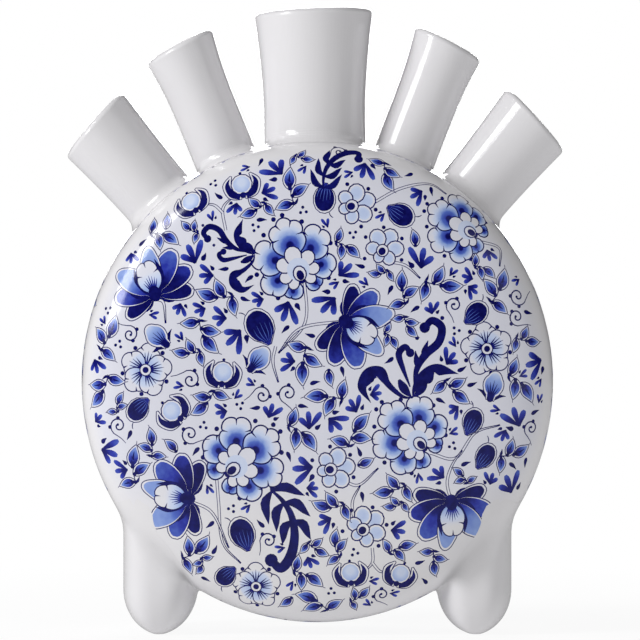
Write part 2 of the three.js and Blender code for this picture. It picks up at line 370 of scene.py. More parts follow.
PLAIN_WHITE = (0.74, 0.73, 0.75)
PLAIN_THIN = (0.71, 0.7, 0.715)
POOL_SCALE = 26.0
PEEL_SCALE = 190.0
PEEL_STRENGTH = 0.05
PEEL_DEPTH = 0.0004
GLOSS = (0.1, 0.17)


def cloud(tree, scale, detail=2.0):
    """Noise in the object's own coordinates."""
    place = tree.nodes.new("ShaderNodeTexCoord")
    noise = tree.nodes.new("ShaderNodeTexNoise")
    noise.inputs["Scale"].default_value = scale
    noise.inputs["Detail"].default_value = detail
    tree.links.new(place.outputs["Object"], noise.inputs["Vector"])
    return noise.outputs["Fac"]


def mixed(tree, share, colour, other):
    """A colour between two others, each given as numbers or as a socket."""
    mix = tree.nodes.new("ShaderNodeMix")
    mix.data_type = "RGBA"
    tree.links.new(share, mix.inputs["Factor"])
    for slot, value in ((mix.inputs["A"], colour), (mix.inputs["B"], other)):
        if isinstance(value, tuple):
            slot.default_value = (*value, 1)
        else:
            tree.links.new(value, slot)
    return mix.outputs["Result"]


def coloured(tree, colour):
    tree.links.new(colour, tree.nodes["Principled BSDF"].inputs["Base Color"])


def roughened(tree, noise, low, high):
    spread = tree.nodes.new("ShaderNodeMapRange")
    spread.inputs["To Min"].default_value = low
    spread.inputs["To Max"].default_value = high
    tree.links.new(noise, spread.inputs["Value"])
    tree.links.new(spread.outputs["Result"], tree.nodes["Principled BSDF"].inputs["Roughness"])


def embossed(tree, noise, strength, depth):
    bump = tree.nodes.new("ShaderNodeBump")
    bump.inputs["Strength"].default_value = strength
    bump.inputs["Distance"].default_value = depth
    tree.links.new(noise, bump.inputs["Height"])
    tree.links.new(bump.outputs["Normal"], tree.nodes["Principled BSDF"].inputs["Normal"])


def glaze(name, white, thin):
    """White tin glaze, a little thinner in places, with the slight waves that a dipped glaze sets to.
    Returns the material and the socket of its white."""
    material = bpy.data.materials.new(name)
    material.use_nodes = True
    tree = material.node_tree
    pools = cloud(tree, POOL_SCALE)
    roughened(tree, pools, *GLOSS)
    embossed(tree, cloud(tree, PEEL_SCALE), PEEL_STRENGTH, PEEL_DEPTH)
    return material, mixed(tree, pools, white, thin)


white_glaze, glaze_white = glaze("white_glaze", PLAIN_WHITE, PLAIN_THIN)
coloured(white_glaze.node_tree, glaze_white)


def spout_sizes(spout, angle, edges, rise):
    """A spout's values for the tree's named inputs, with lengths in metres."""
    reach = skin_height(angle, 0, 0)
    left, right = [OPEN_ROOM if edge is None else reach * math.sin(edge) for edge in edges]
    lengths = {
        "Waist": spout["waist"],
        "Mouth": spout["mouth"],
        "Length": spout["length"],
        "Straight": spout["straight"],
        "Wall": SPOUT_WALL,
        "Blend": SPOUT_BLEND,
        "Room left": left,
        "Room right": right,
        "Body width": half_body[0],
        "Body depth": half_body[1],
        "Body height": half_body[2],
        "Body wall": BODY_WALL,
        "Lift": body_centre[2],
    }
    slope = rise * math.tan(math.radians(spout["slant"]))
    rest = {"Flare": spout["flare"], "Lean": angle, "Slope": slope, "Glaze": white_glaze}
    return {name: length * MM for name, length in lengths.items()} | rest


spouts = spout_tree()
for node, form, lean, edges, rise in fan:
    made = bpy.data.objects.new("glazed_" + node, bpy.data.meshes.new(node))
    bpy.context.scene.collection.objects.link(made)
    modifier = made.modifiers.new("spout", "NODES")
    modifier.node_group = spouts
    values = spout_sizes(form, lean, edges, rise)
    for socket in spouts.interface.items_tree:
        if socket.name in values:
            modifier[socket.identifier] = values[socket.name]
    evaluated = made.evaluated_get(bpy.context.evaluated_depsgraph_get())
    mesh = bpy.data.meshes.new_from_object(evaluated)
    made.modifiers.clear()
    made.data = mesh
    flow_into_body(mesh)
    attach(made, "root")
    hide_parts(node)


# The feet: two long hollow lobes, press-moulded and luted under the body, each opening into it through a
# vent. The slip is wiped to a hollow curve along the sides and nearly flush in front and behind, where the
# faces run down into the feet. The sole is wiped clean of glaze and is bare clay.
FOOT_INSET = 12.3
FOOT_WIDTH = 22.4
FOOT_SETBACK = 7.0
FOOT_ROUNDING = 13.5
FOOT_WALL = 4.0
FOOT_END_POWER = 3
SOLE_WIDTH = 4.8
FLOOR_WIDTH = 2.4
SIDE_BLEND = 3.0
END_BLEND = 0.8
END_SHADE = 9.0
BLEND_TOP = 42.0
BLEND_FADE = 12.0
WALK_PAST = 1.08
WALK_ROUNDS = 4
FOOT_AROUND = 120
LOBE_ROWS = 26
WALK_ROWS = 16
FLANGE_ROWS = 4
CUP_ROWS = 10
LOBE_CROWDING = 1.6
BISECTIONS = 40
SETTLE_ROUNDS = 8
SLOPE_STEP = 1e-3
LEAST_FADE = 1e-3
foot_half = np.array([FOOT_WIDTH, BODY_DEPTH - 2 * FOOT_SETBACK]) / 2
foot_x = BODY_WIDTH / 2 - FOOT_INSET - FOOT_WIDTH / 2
floor_z = -body_centre[2]
foot_turns = np.arange(FOOT_AROUND) * 2 * math.pi / FOOT_AROUND


def slope_of(field, points):
    """A field's rate of change along each axis."""
    changes = [field(points + step) - field(points - step) for step in np.eye(3) * SLOPE_STEP]
    return np.stack(changes, axis=-1) / (2 * SLOPE_STEP)


def distance_from(form):
    """Turns a form's field, zero on its surface, into its distance in millimetres near that surface."""
    return lambda points: form(points) / np.maximum(np.linalg.norm(slope_of(form, points), axis=-1), TINY)


def drawn_in(z, wall, half_sole):
    """How far a foot's side is in from its widest, at a height above the table."""
    width = foot_half[0] - wall
    start = math.asin(half_sole / width)
    lean = np.arccos(np.clip(math.cos(start) - (z - wall) / (FOOT_ROUNDING - wall), 0, math.cos(start)))
    return width * (1 - np.sin(lean))


def lobe_form(points):
    """A field that is 0 on a lobe, at places across and along from its middle and up from the body's."""
    x, y, z = np.moveaxis(points, -1, 0)
    inset = drawn_in(z - floor_z, 0, SOLE_WIDTH / 2)
    across = np.abs(x) / (foot_half[0] - inset)
    along = np.abs(y) / (foot_half[1] - inset)
    return across**FOOT_END_POWER + along**FOOT_END_POWER - 1


body_distance = distance_from(body_form)
lobe_distance = distance_from(lobe_form)


def blend_at(points):
    """How far the slip is drawn out: widely on a foot's sides and above the blend's top, and narrowly at its
    ends."""
    _, y, z = np.moveaxis(points, -1, 0)
    at_end = np.minimum(np.abs(y) / foot_half[1], 1) ** 2
    below = np.clip((BLEND_TOP - (z - floor_z)) / BLEND_FADE, 0, 1)
    return SIDE_BLEND + (END_BLEND - SIDE_BLEND) * at_end * below


def lobed(share):
    """The blunter curve that a lobe has in place of a circle's sine or cosine."""
    return np.sign(share) * np.abs(share) ** (2 / FOOT_END_POWER)


def foot_ring(z, wall=0.0, half_sole=SOLE_WIDTH / 2):
    """A ring round the lobe, or round the cup inside it, at heights above the table."""
    inset = drawn_in(z, wall, half_sole) + wall
    across = lobed(np.cos(foot_turns)) * (foot_half[0] - inset)
    along = lobed(np.sin(foot_turns)) * (foot_half[1] - inset)
    return np.stack([across, along, z + floor_z], axis=-1)


def meeting(shift, wall, half_sole):
    """The heights at which a lobe or its cup runs into the body, found by halving."""
    low = np.full(FOOT_AROUND, wall)
    high = np.full(FOOT_AROUND, half_body[2])
    for _ in range(BISECTIONS):
        middle = (low + high) / 2
        outside = body_form(foot_ring(middle, wall, half_sole) + shift) > 0
        low = np.where(outside, middle, low)
        high = np.where(outside, high, middle)
    return low


def on_skin(points, shift, lift):
    """Points moved straight out or in until they are a lift away from the body's skin."""
    for _ in range(SETTLE_ROUNDS):
        slope = slope_of(body_distance, points + shift)
        points = points - slope * (body_distance(points + shift) - lift)[..., None]
    return points


def slip_form(shift):
    """The field of a foot and the body with the hollow curve of the slip between them."""

    def blended(points):
        lobe = lobe_distance(points)
        body = body_distance(points + shift)
        reach = blend_at(points)
        near = np.maximum(reach - np.abs(lobe - body), 0) / reach
        return np.minimum(lobe, body) - near**2 * reach / 4

    return blended


def walk_out(start, shift):
    """Rings over the body's skin, from the top of the lobe to just past the edge of the slip."""
    reach = blend_at(start)
    for _ in range(WALK_ROUNDS):
        walk = []
        points = start
        for _ in range(WALK_ROWS):
            along = np.roll(points, -1, axis=0) - np.roll(points, 1, axis=0)
            away = np.cross(slope_of(body_distance, points + shift), along)
            away /= np.linalg.norm(away, axis=-1, keepdims=True)
            points = on_skin(points + away * (reach / WALK_ROWS)[:, None], shift, SLIP_EDGE)
            walk.append(points)
        reach = reach * WALK_PAST * blend_at(points) / lobe_distance(points)
    return walk


def foot_outside(shift, slip):
    """Rings from the sole's edge up the lobe and over the slip to its edge."""
    top = meeting(shift, 0.0, SOLE_WIDTH / 2)
    lobe = [foot_ring(top * share) for share in np.linspace(0, 1, LOBE_ROWS) ** LOBE_CROWDING]
    rows = np.array(lobe + walk_out(lobe[-1], shift))
    settled = rows[1:-1]
    for _ in range(SETTLE_ROUNDS):
        settled = settled - slope_of(slip, settled) * (slip(settled) - SLIP_EDGE)[..., None]
    rows[1:-1] = settled
    return rows


def foot_inside(shift, slip_edge):
    """Rings from the slip's edge back under it to the brim of the cup, and down to the cup's floor."""
    cup_top = meeting(shift, FOOT_WALL, FLOOR_WIDTH / 2)
    brim = foot_ring(cup_top, FOOT_WALL, FLOOR_WIDTH / 2)
    under = [slip_edge + (brim - slip_edge) * share for share in np.linspace(0, 1, FLANGE_ROWS)]
    drops = np.linspace(1, 0, CUP_ROWS)[1:] ** LOBE_CROWDING
    heights = [FOOT_WALL + (cup_top - FOOT_WALL) * share for share in drops]
    cup = [foot_ring(height, FOOT_WALL, FLOOR_WIDTH / 2) for height in heights]
    return [on_skin(points, shift, SEAT_LIFT) for points in under] + cup


def foot_faces(count):
    """Faces over a number of rings, closed by fans round a point on the sole and one on the cup's floor."""
    column = np.arange(FOOT_AROUND)
    beside = np.roll(column, -1)
    last = (count - 1) * FOOT_AROUND
    sole_middle = last + FOOT_AROUND
    faces = [[sole_middle, b, a] for a, b in zip(column.tolist(), beside.tolist())]
    for low in range(0, last, FOOT_AROUND):
        high = low + FOOT_AROUND
        faces += np.stack([low + column, low + beside, high + beside, high + column], axis=-1).tolist()
    return faces + [[sole_middle + 1, last + a, last + b] for a, b in zip(column.tolist(), beside.tolist())]


def shade_foot(mesh, rows, shift, slip):
    """Shades the rings above the sole's edge by the slip's own form, and near the body more and more as the
    body is shaded, most of all at the ends."""
    vertices, normals = corners_of(mesh)
    own = slope_of(slip, rows)
    own /= np.linalg.norm(own, axis=-1, keepdims=True)
    facing = slope_of(lobe_distance, rows)[..., 1:2] ** 2
    past = np.clip(body_distance(rows + shift)[..., None] / (END_SHADE * facing + LEAST_FADE), 0, 1)
    share = past**2 * (3 - 2 * past)
    out = (own * share + slope_of(body_distance, rows + shift) * (1 - share)).reshape(-1, 3)
    sole_corners = 3 * FOOT_AROUND
    ring_corners = 4 * FOOT_AROUND
    shaded = slice(sole_corners + ring_corners, sole_corners + ring_corners * len(rows))
    normals[shaded] = out[vertices[shaded] - FOOT_AROUND]
    mesh.normals_split_custom_set(normals.tolist())


def smooth_mesh(name, points, faces):
    mesh = bpy.data.meshes.new(name)
    mesh.from_pydata(points.tolist(), [], faces)
    mesh.polygons.foreach_set("use_smooth", [True] * len(faces))
    return mesh


def foot_mesh(name, x):
    """A foot as one closed shell of rings, with bare clay on the sole."""
    shift = np.array([x, 0, 0])
    slip = slip_form(shift)
    rows = foot_outside(shift, slip)
    rings = np.array([*rows, *foot_inside(shift, rows[-1])])
    middles = [[0, 0, floor_z], [0, 0, floor_z + FOOT_WALL]]
    points = (np.concatenate([rings.reshape(-1, 3), middles]) + shift + body_centre) * MM
    faces = foot_faces(len(rings))
    mesh = smooth_mesh(name, points, faces)
    mesh.set_sharp_from_angle(angle=SHARP)
    mesh.polygons.foreach_set("material_index", [1] * FOOT_AROUND + [0] * (len(faces) - FOOT_AROUND))
    shade_foot(mesh, rows[1:], shift, slip)
    return mesh


PALE_CLAY = (0.72, 0.64, 0.52)
DARK_CLAY = (0.58, 0.49, 0.38)
GRAIN_SCALE = 900.0
GRAIN_DETAIL = 6.0
GRAIN_STRENGTH = 0.5
GRAIN_DEPTH = 0.0003
MATT = (0.75, 0.92)
bare_clay = bpy.data.materials.new("bare_clay")
bare_clay.use_nodes = True
clay_tree = bare_clay.node_tree
grain = cloud(clay_tree, GRAIN_SCALE, GRAIN_DETAIL)
coloured(clay_tree, mixed(clay_tree, grain, PALE_CLAY, DARK_CLAY))
roughened(clay_tree, grain, *MATT)
embossed(clay_tree, grain, GRAIN_STRENGTH, GRAIN_DEPTH)
for node, x in (("left_foot", -foot_x), ("right_foot", foot_x)):
    foot = bpy.data.objects.new("glazed_" + node, foot_mesh(node, x))
    bpy.context.scene.collection.objects.link(foot)
    foot.data.materials.append(white_glaze)
    foot.data.materials.append(bare_clay)
    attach(foot, "root")
    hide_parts(node)


# The painting: a close pattern of flowers, buds, leaves and scrolls, brushed in cobalt on the raw glaze. A
# mark is an outline on the flat disc, in millimetres as complex numbers, with the cobalt inside it, from 0
# for white to 1 for nearly black. A motif is a list of marks round 0, or from there to the right.
WHITE = 0.0
MIST = 0.1
PALE = 0.26
SKY = 0.42
BLUE = 0.6
DEEP = 0.78
NAVY = 0.95
LINE = 0.34
CURVE_STEPS = 7
BLOB_POINTS = 12
DOT_POINTS = 8
PETAL_POINTS = 8
PETAL_WRAP = math.radians(152)
PETAL_WAIST = 0.55


def wash(start, end, *strengths):
    """Cobalt that changes evenly from one place to another."""
    return start, end - start, False, np.linspace(0, 1, len(strengths)), strengths


def halo(centre, reach, *strengths):
    """Cobalt that changes outwards from a place."""
    return centre, reach, True, np.linspace(0, 1, len(strengths)), strengths


def flat(strength):
    return halo(0, 1, strength)


def cobalt_at(places, tone):
    centre, axis, outwards, runs, strengths = tone
    offset = (places - centre) / axis
    return np.interp(np.abs(offset) if outwards else offset.real, runs, strengths)


def moved(marks, place, turn):
    """Marks turned and scaled by a complex number and set at a place."""
    return [
        (edge * turn + place, (centre * turn + place, axis * turn, *rest))
        for edge, (centre, axis, *rest) in marks
    ]


def heading(degrees):
    return np.exp(1j * np.radians(degrees))


def curve(*knots):
    """A smooth line through its knots."""
    knots = np.array([2 * knots[0] - knots[1], *knots, 2 * knots[-1] - knots[-2]])
    before, start, end, after = knots[:-3, None], knots[1:-2, None], knots[2:-1, None], knots[3:, None]
    share = np.arange(CURVE_STEPS) / CURVE_STEPS
    bend = 2 * before - 5 * start + 4 * end - after
    twist = 3 * start - before - 3 * end + after
    line = start + ((end - before) * share + bend * share**2 + twist * share**3) / 2
    return np.concatenate([line.ravel(), knots[-2:-1]])


def sweep(length, bend):
    """A line that starts to the right and turns evenly by a number of degrees."""
    turns = np.exp(1j * math.radians(bend) * (np.arange(CURVE_STEPS) + 0.5) / CURVE_STEPS)
    return np.concatenate([[0], np.cumsum(turns)]) * length / CURVE_STEPS


def ribbon(line, left, right=None):
    """A brush stroke along a line, with its half widths on the left and right at even steps along it."""
    right = left if right is None else right
    share = np.linspace(0, 1, len(line))
    side = np.gradient(line) * 1j
    side /= np.abs(side)
    on_left = line + side * np.interp(share, np.linspace(0, 1, len(left)), left)
    on_right = line - side * np.interp(share, np.linspace(0, 1, len(right)), right)
    return np.concatenate([on_right, on_left[::-1]])


def stem(line, width):
    return [(ribbon(line, (0.3 * width, 0.5 * width, 0.3 * width)), flat(NAVY))]


STEM_WIDTH = 0.95
STEM_LINE = 0.2


def double_stem(line):
    """Two fine lines side by side, drawn together at the tip."""
    half = STEM_WIDTH / 2
    dark = ribbon(line, (half, half, STEM_WIDTH * 0.3))
    white = ribbon(line[:-1], (half - STEM_LINE, half - STEM_LINE, 0.02))
    return [(dark, flat(NAVY)), (white, flat(WHITE))]


def blob(centre, radius, stretch=1.0, way=1, count=BLOB_POINTS):
    turns = np.exp(2j * math.pi * np.arange(count) / count)
    return centre + radius * way * (turns.real * stretch + 1j * turns.imag)


def dot(centre, radius):
    return [(blob(centre, radius, count=DOT_POINTS), flat(NAVY))]


def club(length, width, bend, strengths):
    """A touch of the brush, thin where it starts and round where it is lifted."""
    half = np.array([0.3, 0.45, 0.75, 1.0, 1.12, 1.08, 0.5]) * width / 2
    return [(ribbon(sweep(length, bend), half), wash(0, length, *strengths))]


def comma(length, width, bend=35.0):
    """A touch that starts round and ends in a point."""
    half = np.array([0.35, 0.9, 1.0, 0.8, 0.55, 0.3, 0.08]) * width / 2
    return [(ribbon(sweep(length, bend), half), flat(NAVY))]


def anticlockwise(edge):
    """An outline in the order in which its inside lies on the left."""
    following = np.roll(edge, -1)
    turned = np.sum(edge.real * following.imag - following.real * edge.imag)
    return edge if turned > 0 else edge[::-1]


def grown(edge, by):
    """An outline moved outwards."""
    edge = anticlockwise(edge)
    along = np.roll(edge, -1) - np.roll(edge, 1)
    return edge - 1j * along / np.maximum(np.abs(along), TINY) * by


def petal(length, width, lobes, notch, base):
    """A petal's edge, from its base at 0 to its tip on the right, with its end cut into round lobes."""
    share = np.linspace(-1, 1, lobes * PETAL_POINTS + 5)
    turns = share * PETAL_WRAP
    lobe = np.abs(np.sin(lobes * math.pi * (share + 1) / 2)) ** 0.8
    reach = 1 - notch * (1 - lobe) * (np.abs(share) < 0.8)
    along = PETAL_WAIST + (1 - PETAL_WAIST) * np.cos(turns) * reach
    edge = length * along + 1j * width / 2 * np.sin(turns) * reach
    foot = np.array([0.5j, -0.5j]) * base * width
    return np.concatenate([edge, foot])


def lined(edge, tone, line=LINE):
    """A shape with a drawn outline."""
    return [(grown(edge, line), flat(NAVY)), (edge, tone)]


def bent(edge, length, bend):
    """An edge whose straight axis is turned into an even curve."""
    share = edge.real / length
    rate = math.radians(bend)
    axis = length * (np.exp(1j * rate * share) - 1) / (1j * rate)
    return axis + 1j * edge.imag * np.exp(1j * rate * share)


def shrunk(edge, share):
    middle = np.mean(edge)
    return middle + (edge - middle) * share


def rimmed(edge, tone, share, line=LINE * 0.8):
    """A washed shape inside a white rim and a thin outline."""
    return lined(edge, flat(WHITE), line) + [(shrunk(edge, share), tone)]


def strokes(start, length, spread, count, width=0.3, strength=DEEP):
    """Fine touches that fan out from one place and end in points."""
    marks = []
    for place in np.linspace(-1, 1, count):
        way = heading(place * spread)
        line = (start + sweep(length * (1 - 0.25 * abs(place)), 0)) * way
        marks.append((ribbon(line, (width, width * 0.7, 0.04)), flat(strength)))
    return marks


def end_way(line):
    """The way in which a line ends."""
    return (line[-1] - line[-2]) / abs(line[-1] - line[-2])


def leaf(length, width, bend, flick):
    """A leaf with a dark foot, a pale tip, its veins, and the flick where the brush left it."""
    shape = np.array([0.12, 0.7, 0.98, 1.0, 0.8, 0.45, 0.04]) * width / 2
    line = sweep(length, bend)
    way = end_way(line)
    marks = rimmed(ribbon(line, shape), wash(0, length, NAVY, 0.84, 0.62, 0.44, 0.3), 0.84)
    vein = ribbon(line[:-2], np.array([0.34, 0.3, 0.16, 0.04]) * width / 2)
    marks.append((vein, wash(0, length, NAVY, NAVY, DEEP)))
    for side in (1, -1):
        rib = line[2] + sweep(width * 0.45, 0) * heading(side * 38) * way
        marks.append((ribbon(rib, (0.16, 0.06)), flat(DEEP)))
    return marks + stem(line[-1] + sweep(flick, 25) * way, LINE * 0.7)


def twig(length, bend, side):
    """A thin stem with a leaf at its end, one on each side and a touch at its foot."""
    line = sweep(length * 0.45, bend)
    end_leaf = leaf(length * 0.62, length * 0.34, bend, length * 0.12)
    near_leaf = leaf(length * 0.55, length * 0.3, side * 24, length * 0.1)
    far_leaf = leaf(length * 0.52, length * 0.28, -side * 24, length * 0.1)
    marks = stem(line, LINE)
    marks += moved(end_leaf, line[-1], end_way(line))
    marks += moved(near_leaf, line[4], heading(side * 70))
    marks += moved(far_leaf, line[1], heading(-side * 68))
    return marks + moved(comma(length * 0.22, 0.9), line[0] + 0.4, heading(side * 70))


def sprig(count, length, width, side):
    """Slender touches of the brush from one foot, each shorter and further round, and a drop beside them."""
    marks = []
    for k in range(count):
        finger = club(length * (1 - 0.15 * k), width, side * 13 * k, (NAVY, 0.86, 0.72, 0.6))
        marks += moved(finger, 0, heading(side * (33 * k - 22)))
    drop = comma(length * 0.36, width * 0.9, side * 20)
    return marks + moved(drop, length * 0.3 * heading(-side * 74), heading(-side * 46))


def three_dots():
    return [mark for turn in (75, 195, 315) for mark in dot(heading(turn), 0.5)]


SPIRAL_ROLL = math.radians(500)
SPIRAL_POINTS = 22
SPIRAL_CLOSING = 0.86
SPIRAL_TAIL = (-1.6 - 1.1j, -1.25 - 0.6j)
SPIRAL_DOTS = (5, 9)


def spiral(size):
    """A thin tendril rolled up to a dot, with two dots on its back."""
    share = np.linspace(0, 1, SPIRAL_POINTS)
    roll = size * (1.0 - SPIRAL_CLOSING * share) * np.exp(-1j * SPIRAL_ROLL * share)
    line = np.concatenate([size * np.array(SPIRAL_TAIL), -roll])
    marks = [(ribbon(line, (0.1, 0.22, 0.22, 0.22, 0.26)), flat(NAVY))]
    marks += dot(line[-1], 0.42)
    for step in SPIRAL_DOTS:
        marks += dot(line[step] * 1.13, 0.62)
    return marks


def scroll(knots, widths, roll):
    """A smooth thick touch that ends in a round."""
    line = curve(*knots)
    return [(ribbon(line, widths), flat(NAVY)), (blob(line[-1], roll), flat(NAVY))]


def hook(size):
    """A thick touch that rolls up into a round end."""
    knots = np.array([0, 0.5 + 0.42j, 1 + 0.28j, 1.12 - 0.32j, 0.72 - 0.62j, 0.42 - 0.3j])
    widths = np.array([0.06, 0.13, 0.17, 0.15, 0.13, 0.13])
    return moved(scroll(knots, widths, 0.22), 0, size)


def scallops(length, width, lobes, notch):
    """The short strokes that run in from the notches of a petal's end."""
    marks = []
    for k in range(1, lobes):
        turn = (2 * k / lobes - 1) * PETAL_WRAP
        along = PETAL_WAIST + (1 - PETAL_WAIST) * math.cos(turn) * (1 - notch)
        place = length * along + 1j * width / 2 * math.sin(turn) * (1 - notch)
        inwards = PETAL_WAIST * length - place
        line = place + inwards / abs(inwards) * np.linspace(-0.3, 0.13 * length, 3)
        marks.append((ribbon(line, (0.3, 0.16, 0.03)), flat(NAVY)))
    return marks


PEONY_RING = 4.4
PEONY_START = 3.2
PEONY_NOTCH = 0.21
PEONY_CORE = 7.5
PEONY_PETALS = (
    (147, 9.0, 5.8, 2), (-146, 8.4, 5.0, 2), (-97, 11.4, 8.2, 3),
    (99, 12.2, 9.0, 3), (-49, 14.4, 10.0, 4), (50, 14.8, 10.4, 4), (0, 15.8, 10.8, 5),
)
PEONY_HEARTS = ((143, 1.5), (-143, 1.5), (104, 1.7), (-104, 1.7), (56, 2.1), (-57, 2.0), (3, 2.4))
PEONY_WASH = (NAVY, NAVY, 0.9, 0.64, 0.6, 0.56, 0.46, 0.3, 0.27, 0.2, 0.12, 0.1, 0.07, WHITE)
PEONY_DOTS = (
    (27, 14.6), (-23, 14.2), (78, 12.6), (-70, 12.4), (125, 10.4), (-124, 9.4), (8, 16.6), (-2, 16.8),
)


def peony(size):
    """The largest flower: white scalloped petals, each with a dark spot at its foot and a wash round that,
    about a ring of small white petals and an eye. Its far petals are the largest."""
    farthest = PEONY_PETALS[-1][1]
    marks = []
    for degrees, reach in PEONY_DOTS:
        marks += dot(reach * heading(degrees), 0.75)
    for degrees, reach, width, lobes in PEONY_PETALS:
        length = reach - PEONY_START
        core = PEONY_CORE - PEONY_START - 0.12 * (farthest - reach)
        tone = halo(core, 0.42 * length + 0.9, *PEONY_WASH)
        group = lined(petal(length, width, lobes, PEONY_NOTCH, 0.3), tone, 0.46)
        group += scallops(length, width, lobes, PEONY_NOTCH)
        marks += moved(group, PEONY_START * heading(degrees), heading(degrees))
    marks.append((blob(0, PEONY_RING), flat(NAVY)))
    for degrees, radius in PEONY_HEARTS:
        place = PEONY_RING * heading(degrees)
        marks += lined(blob(place, radius, 1.1, heading(degrees)), flat(WHITE), 0.4)
    marks.append((blob(0, PEONY_RING - 0.9), halo(-1.2, PEONY_RING, PALE, 0.2, MIST, MIST)))
    marks += lined(blob(-1.3, 1.75, 1.2), flat(WHITE), 0.4)
    marks.append((blob(-1.8, 1.15, 1.35), flat(NAVY)))
    return moved(marks, -3.3 * size, size)


HALF_OPEN_PETALS = (
    (92, 11.6, 5.2, 34, "navy"), (-92, 12.2, 5.6, -34, "navy"), (62, 13.6, 6.4, 24, "blue"),
    (-66, 14.0, 6.4, -24, "deep"), (34, 15.2, 7.0, 12, "sky"), (-38, 15.0, 7.0, -14, "blue"),
    (-9, 15.0, 6.4, -4, "sky"),
)
HALF_OPEN_FILLS = {
    "navy": (NAVY, NAVY, NAVY, NAVY, 0.86), "deep": (NAVY, NAVY, NAVY, 0.76, 0.7),
    "blue": (NAVY, NAVY, 0.72, 0.62, 0.56), "sky": (NAVY, 0.72, 0.42, 0.36, 0.32),
}
HALF_OPEN_RIM = 0.65
HALF_OPEN_WAIST = 1.3
HALF_OPEN_BASE = 0.34
HALF_OPEN_HEART = (10.8, 7.6, 4, 0.14)


def half_open(size):
    """A flower seen from the side: dark outer petals, washed inner ones and a white heart, all from a dark
    foot. Each petal has a thin outline and a white rim that widens to its tip."""
    marks = []
    for degrees, length, width, bend, colour in HALF_OPEN_PETALS:
        edge = petal(length, width, 3 if colour == "sky" else 2, 0.08, HALF_OPEN_BASE)
        out = edge.real / length
        narrow = 1 - HALF_OPEN_WAIST * HALF_OPEN_RIM / width * out
        fill = edge.real * (1 - HALF_OPEN_RIM / length * out) + 1j * edge.imag * narrow
        shade = petal(length * 0.66, width * 1.2, 1, 0, HALF_OPEN_BASE)
        group = [(bent(shade, length, bend), flat(NAVY))]
        group += lined(bent(edge, length, bend), flat(WHITE), LINE * 0.85)
        group.append((bent(fill, length, bend), wash(0, length, *HALF_OPEN_FILLS[colour])))
        marks += moved(group, 0, heading(degrees))
    for side in (1, -1):
        line = curve(0, 3.0 + side * 2.4j, 6.4 + side * 3.9j, 10.2 + side * 3.5j)
        marks.append((ribbon(line, (0.9, 1.2, 0.8, 0.06)), flat(NAVY)))
    heart = petal(*HALF_OPEN_HEART, HALF_OPEN_BASE)
    marks += lined(heart, wash(0, 10, BLUE, PALE, MIST, WHITE, WHITE))
    marks += scallops(*HALF_OPEN_HEART)
    marks += strokes(1.4, 4.8, 26, 7)
    marks.append((blob(0.4, 1.9, 1.3), flat(NAVY)))
    return moved(marks, 0, size)


ROSETTE_PETALS = 5
ROSETTE_PETAL = (7.9, 7.4, 3, 0.2)
ROSETTE_WASH = (BLUE, SKY, PALE, 0.2, 0.14, MIST, WHITE, WHITE)


def rosette(size):
    """An open flower of notched white petals, with fine strokes out from a ringed eye."""
    marks = []
    for k in range(ROSETTE_PETALS):
        marks += moved(dot(7.2, 0.7), 0, heading(360 * (k + 0.5) / ROSETTE_PETALS))
    for k in range(ROSETTE_PETALS):
        group = lined(petal(*ROSETTE_PETAL, 0.3), halo(0, 6.6, *ROSETTE_WASH))
        group += scallops(*ROSETTE_PETAL)
        group += strokes(1.5, 4.2, 24, 5, 0.28, 0.88)
        marks += moved(group, 0, heading(360 * k / ROSETTE_PETALS))
    marks += lined(blob(0, 1.6), flat(WHITE))
    marks.append((blob(0, 0.95), flat(NAVY)))
    return moved(marks, 0, size)


SMALL_PETALS = (
    (0, 3.9, 2.5), (58, 3.8, 2.4), (-60, 3.8, 2.3), (118, 3.3, 1.9), (-120, 3.3, 1.9), (180, 2.9, 1.5),
)


def small_flower(size):
    """A small flower of round washed petals with white rims, about a ringed dark eye."""
    marks = []
    for degrees, _, _ in SMALL_PETALS[:-1]:
        marks += dot(6.7 * heading(degrees + 29), 0.65)
    for degrees, out, radius in SMALL_PETALS:
        edge = blob(out * heading(degrees), radius, 1.12, heading(degrees))
        marks += rimmed(edge, halo(out * heading(degrees), radius, 0.2, 0.16, MIST), 0.8, 0.4)
    marks += lined(blob(-0.6, 1.75), flat(WHITE), 0.36)
    marks.append((blob(-0.9, 1.15, 1.1), flat(NAVY)))
    return moved(marks, 0, size)


def round_bud(size):
    """A pale ball between two dark sepals, each with its own thin outline."""
    marks = []
    for side in (1, -1):
        line = curve(0.2 + side * 0.5j, 1.6 + side * 3.3j, 4.6 + side * 4.4j, 7.4 + side * 3.0j)
        marks += lined(ribbon(line, (0.7, 1.5, 1.3, 0.2)), flat(WHITE), LINE * 0.8)
        marks.append((ribbon(line[1:-2], (0.9, 1.1, 0.8, 0.1)), wash(0, 7, NAVY, NAVY, 0.86)))
    marks += rimmed(blob(4.2, 3.1), halo(4.8, 3.2, MIST, MIST, 0.18, PALE), 0.86, LINE)
    marks += dot(0.7, 1.0)
    marks += dot(7.9, 0.5)
    return moved(marks, 0, size)


HEART_BEND = 16
HEART_BASE = 0.12


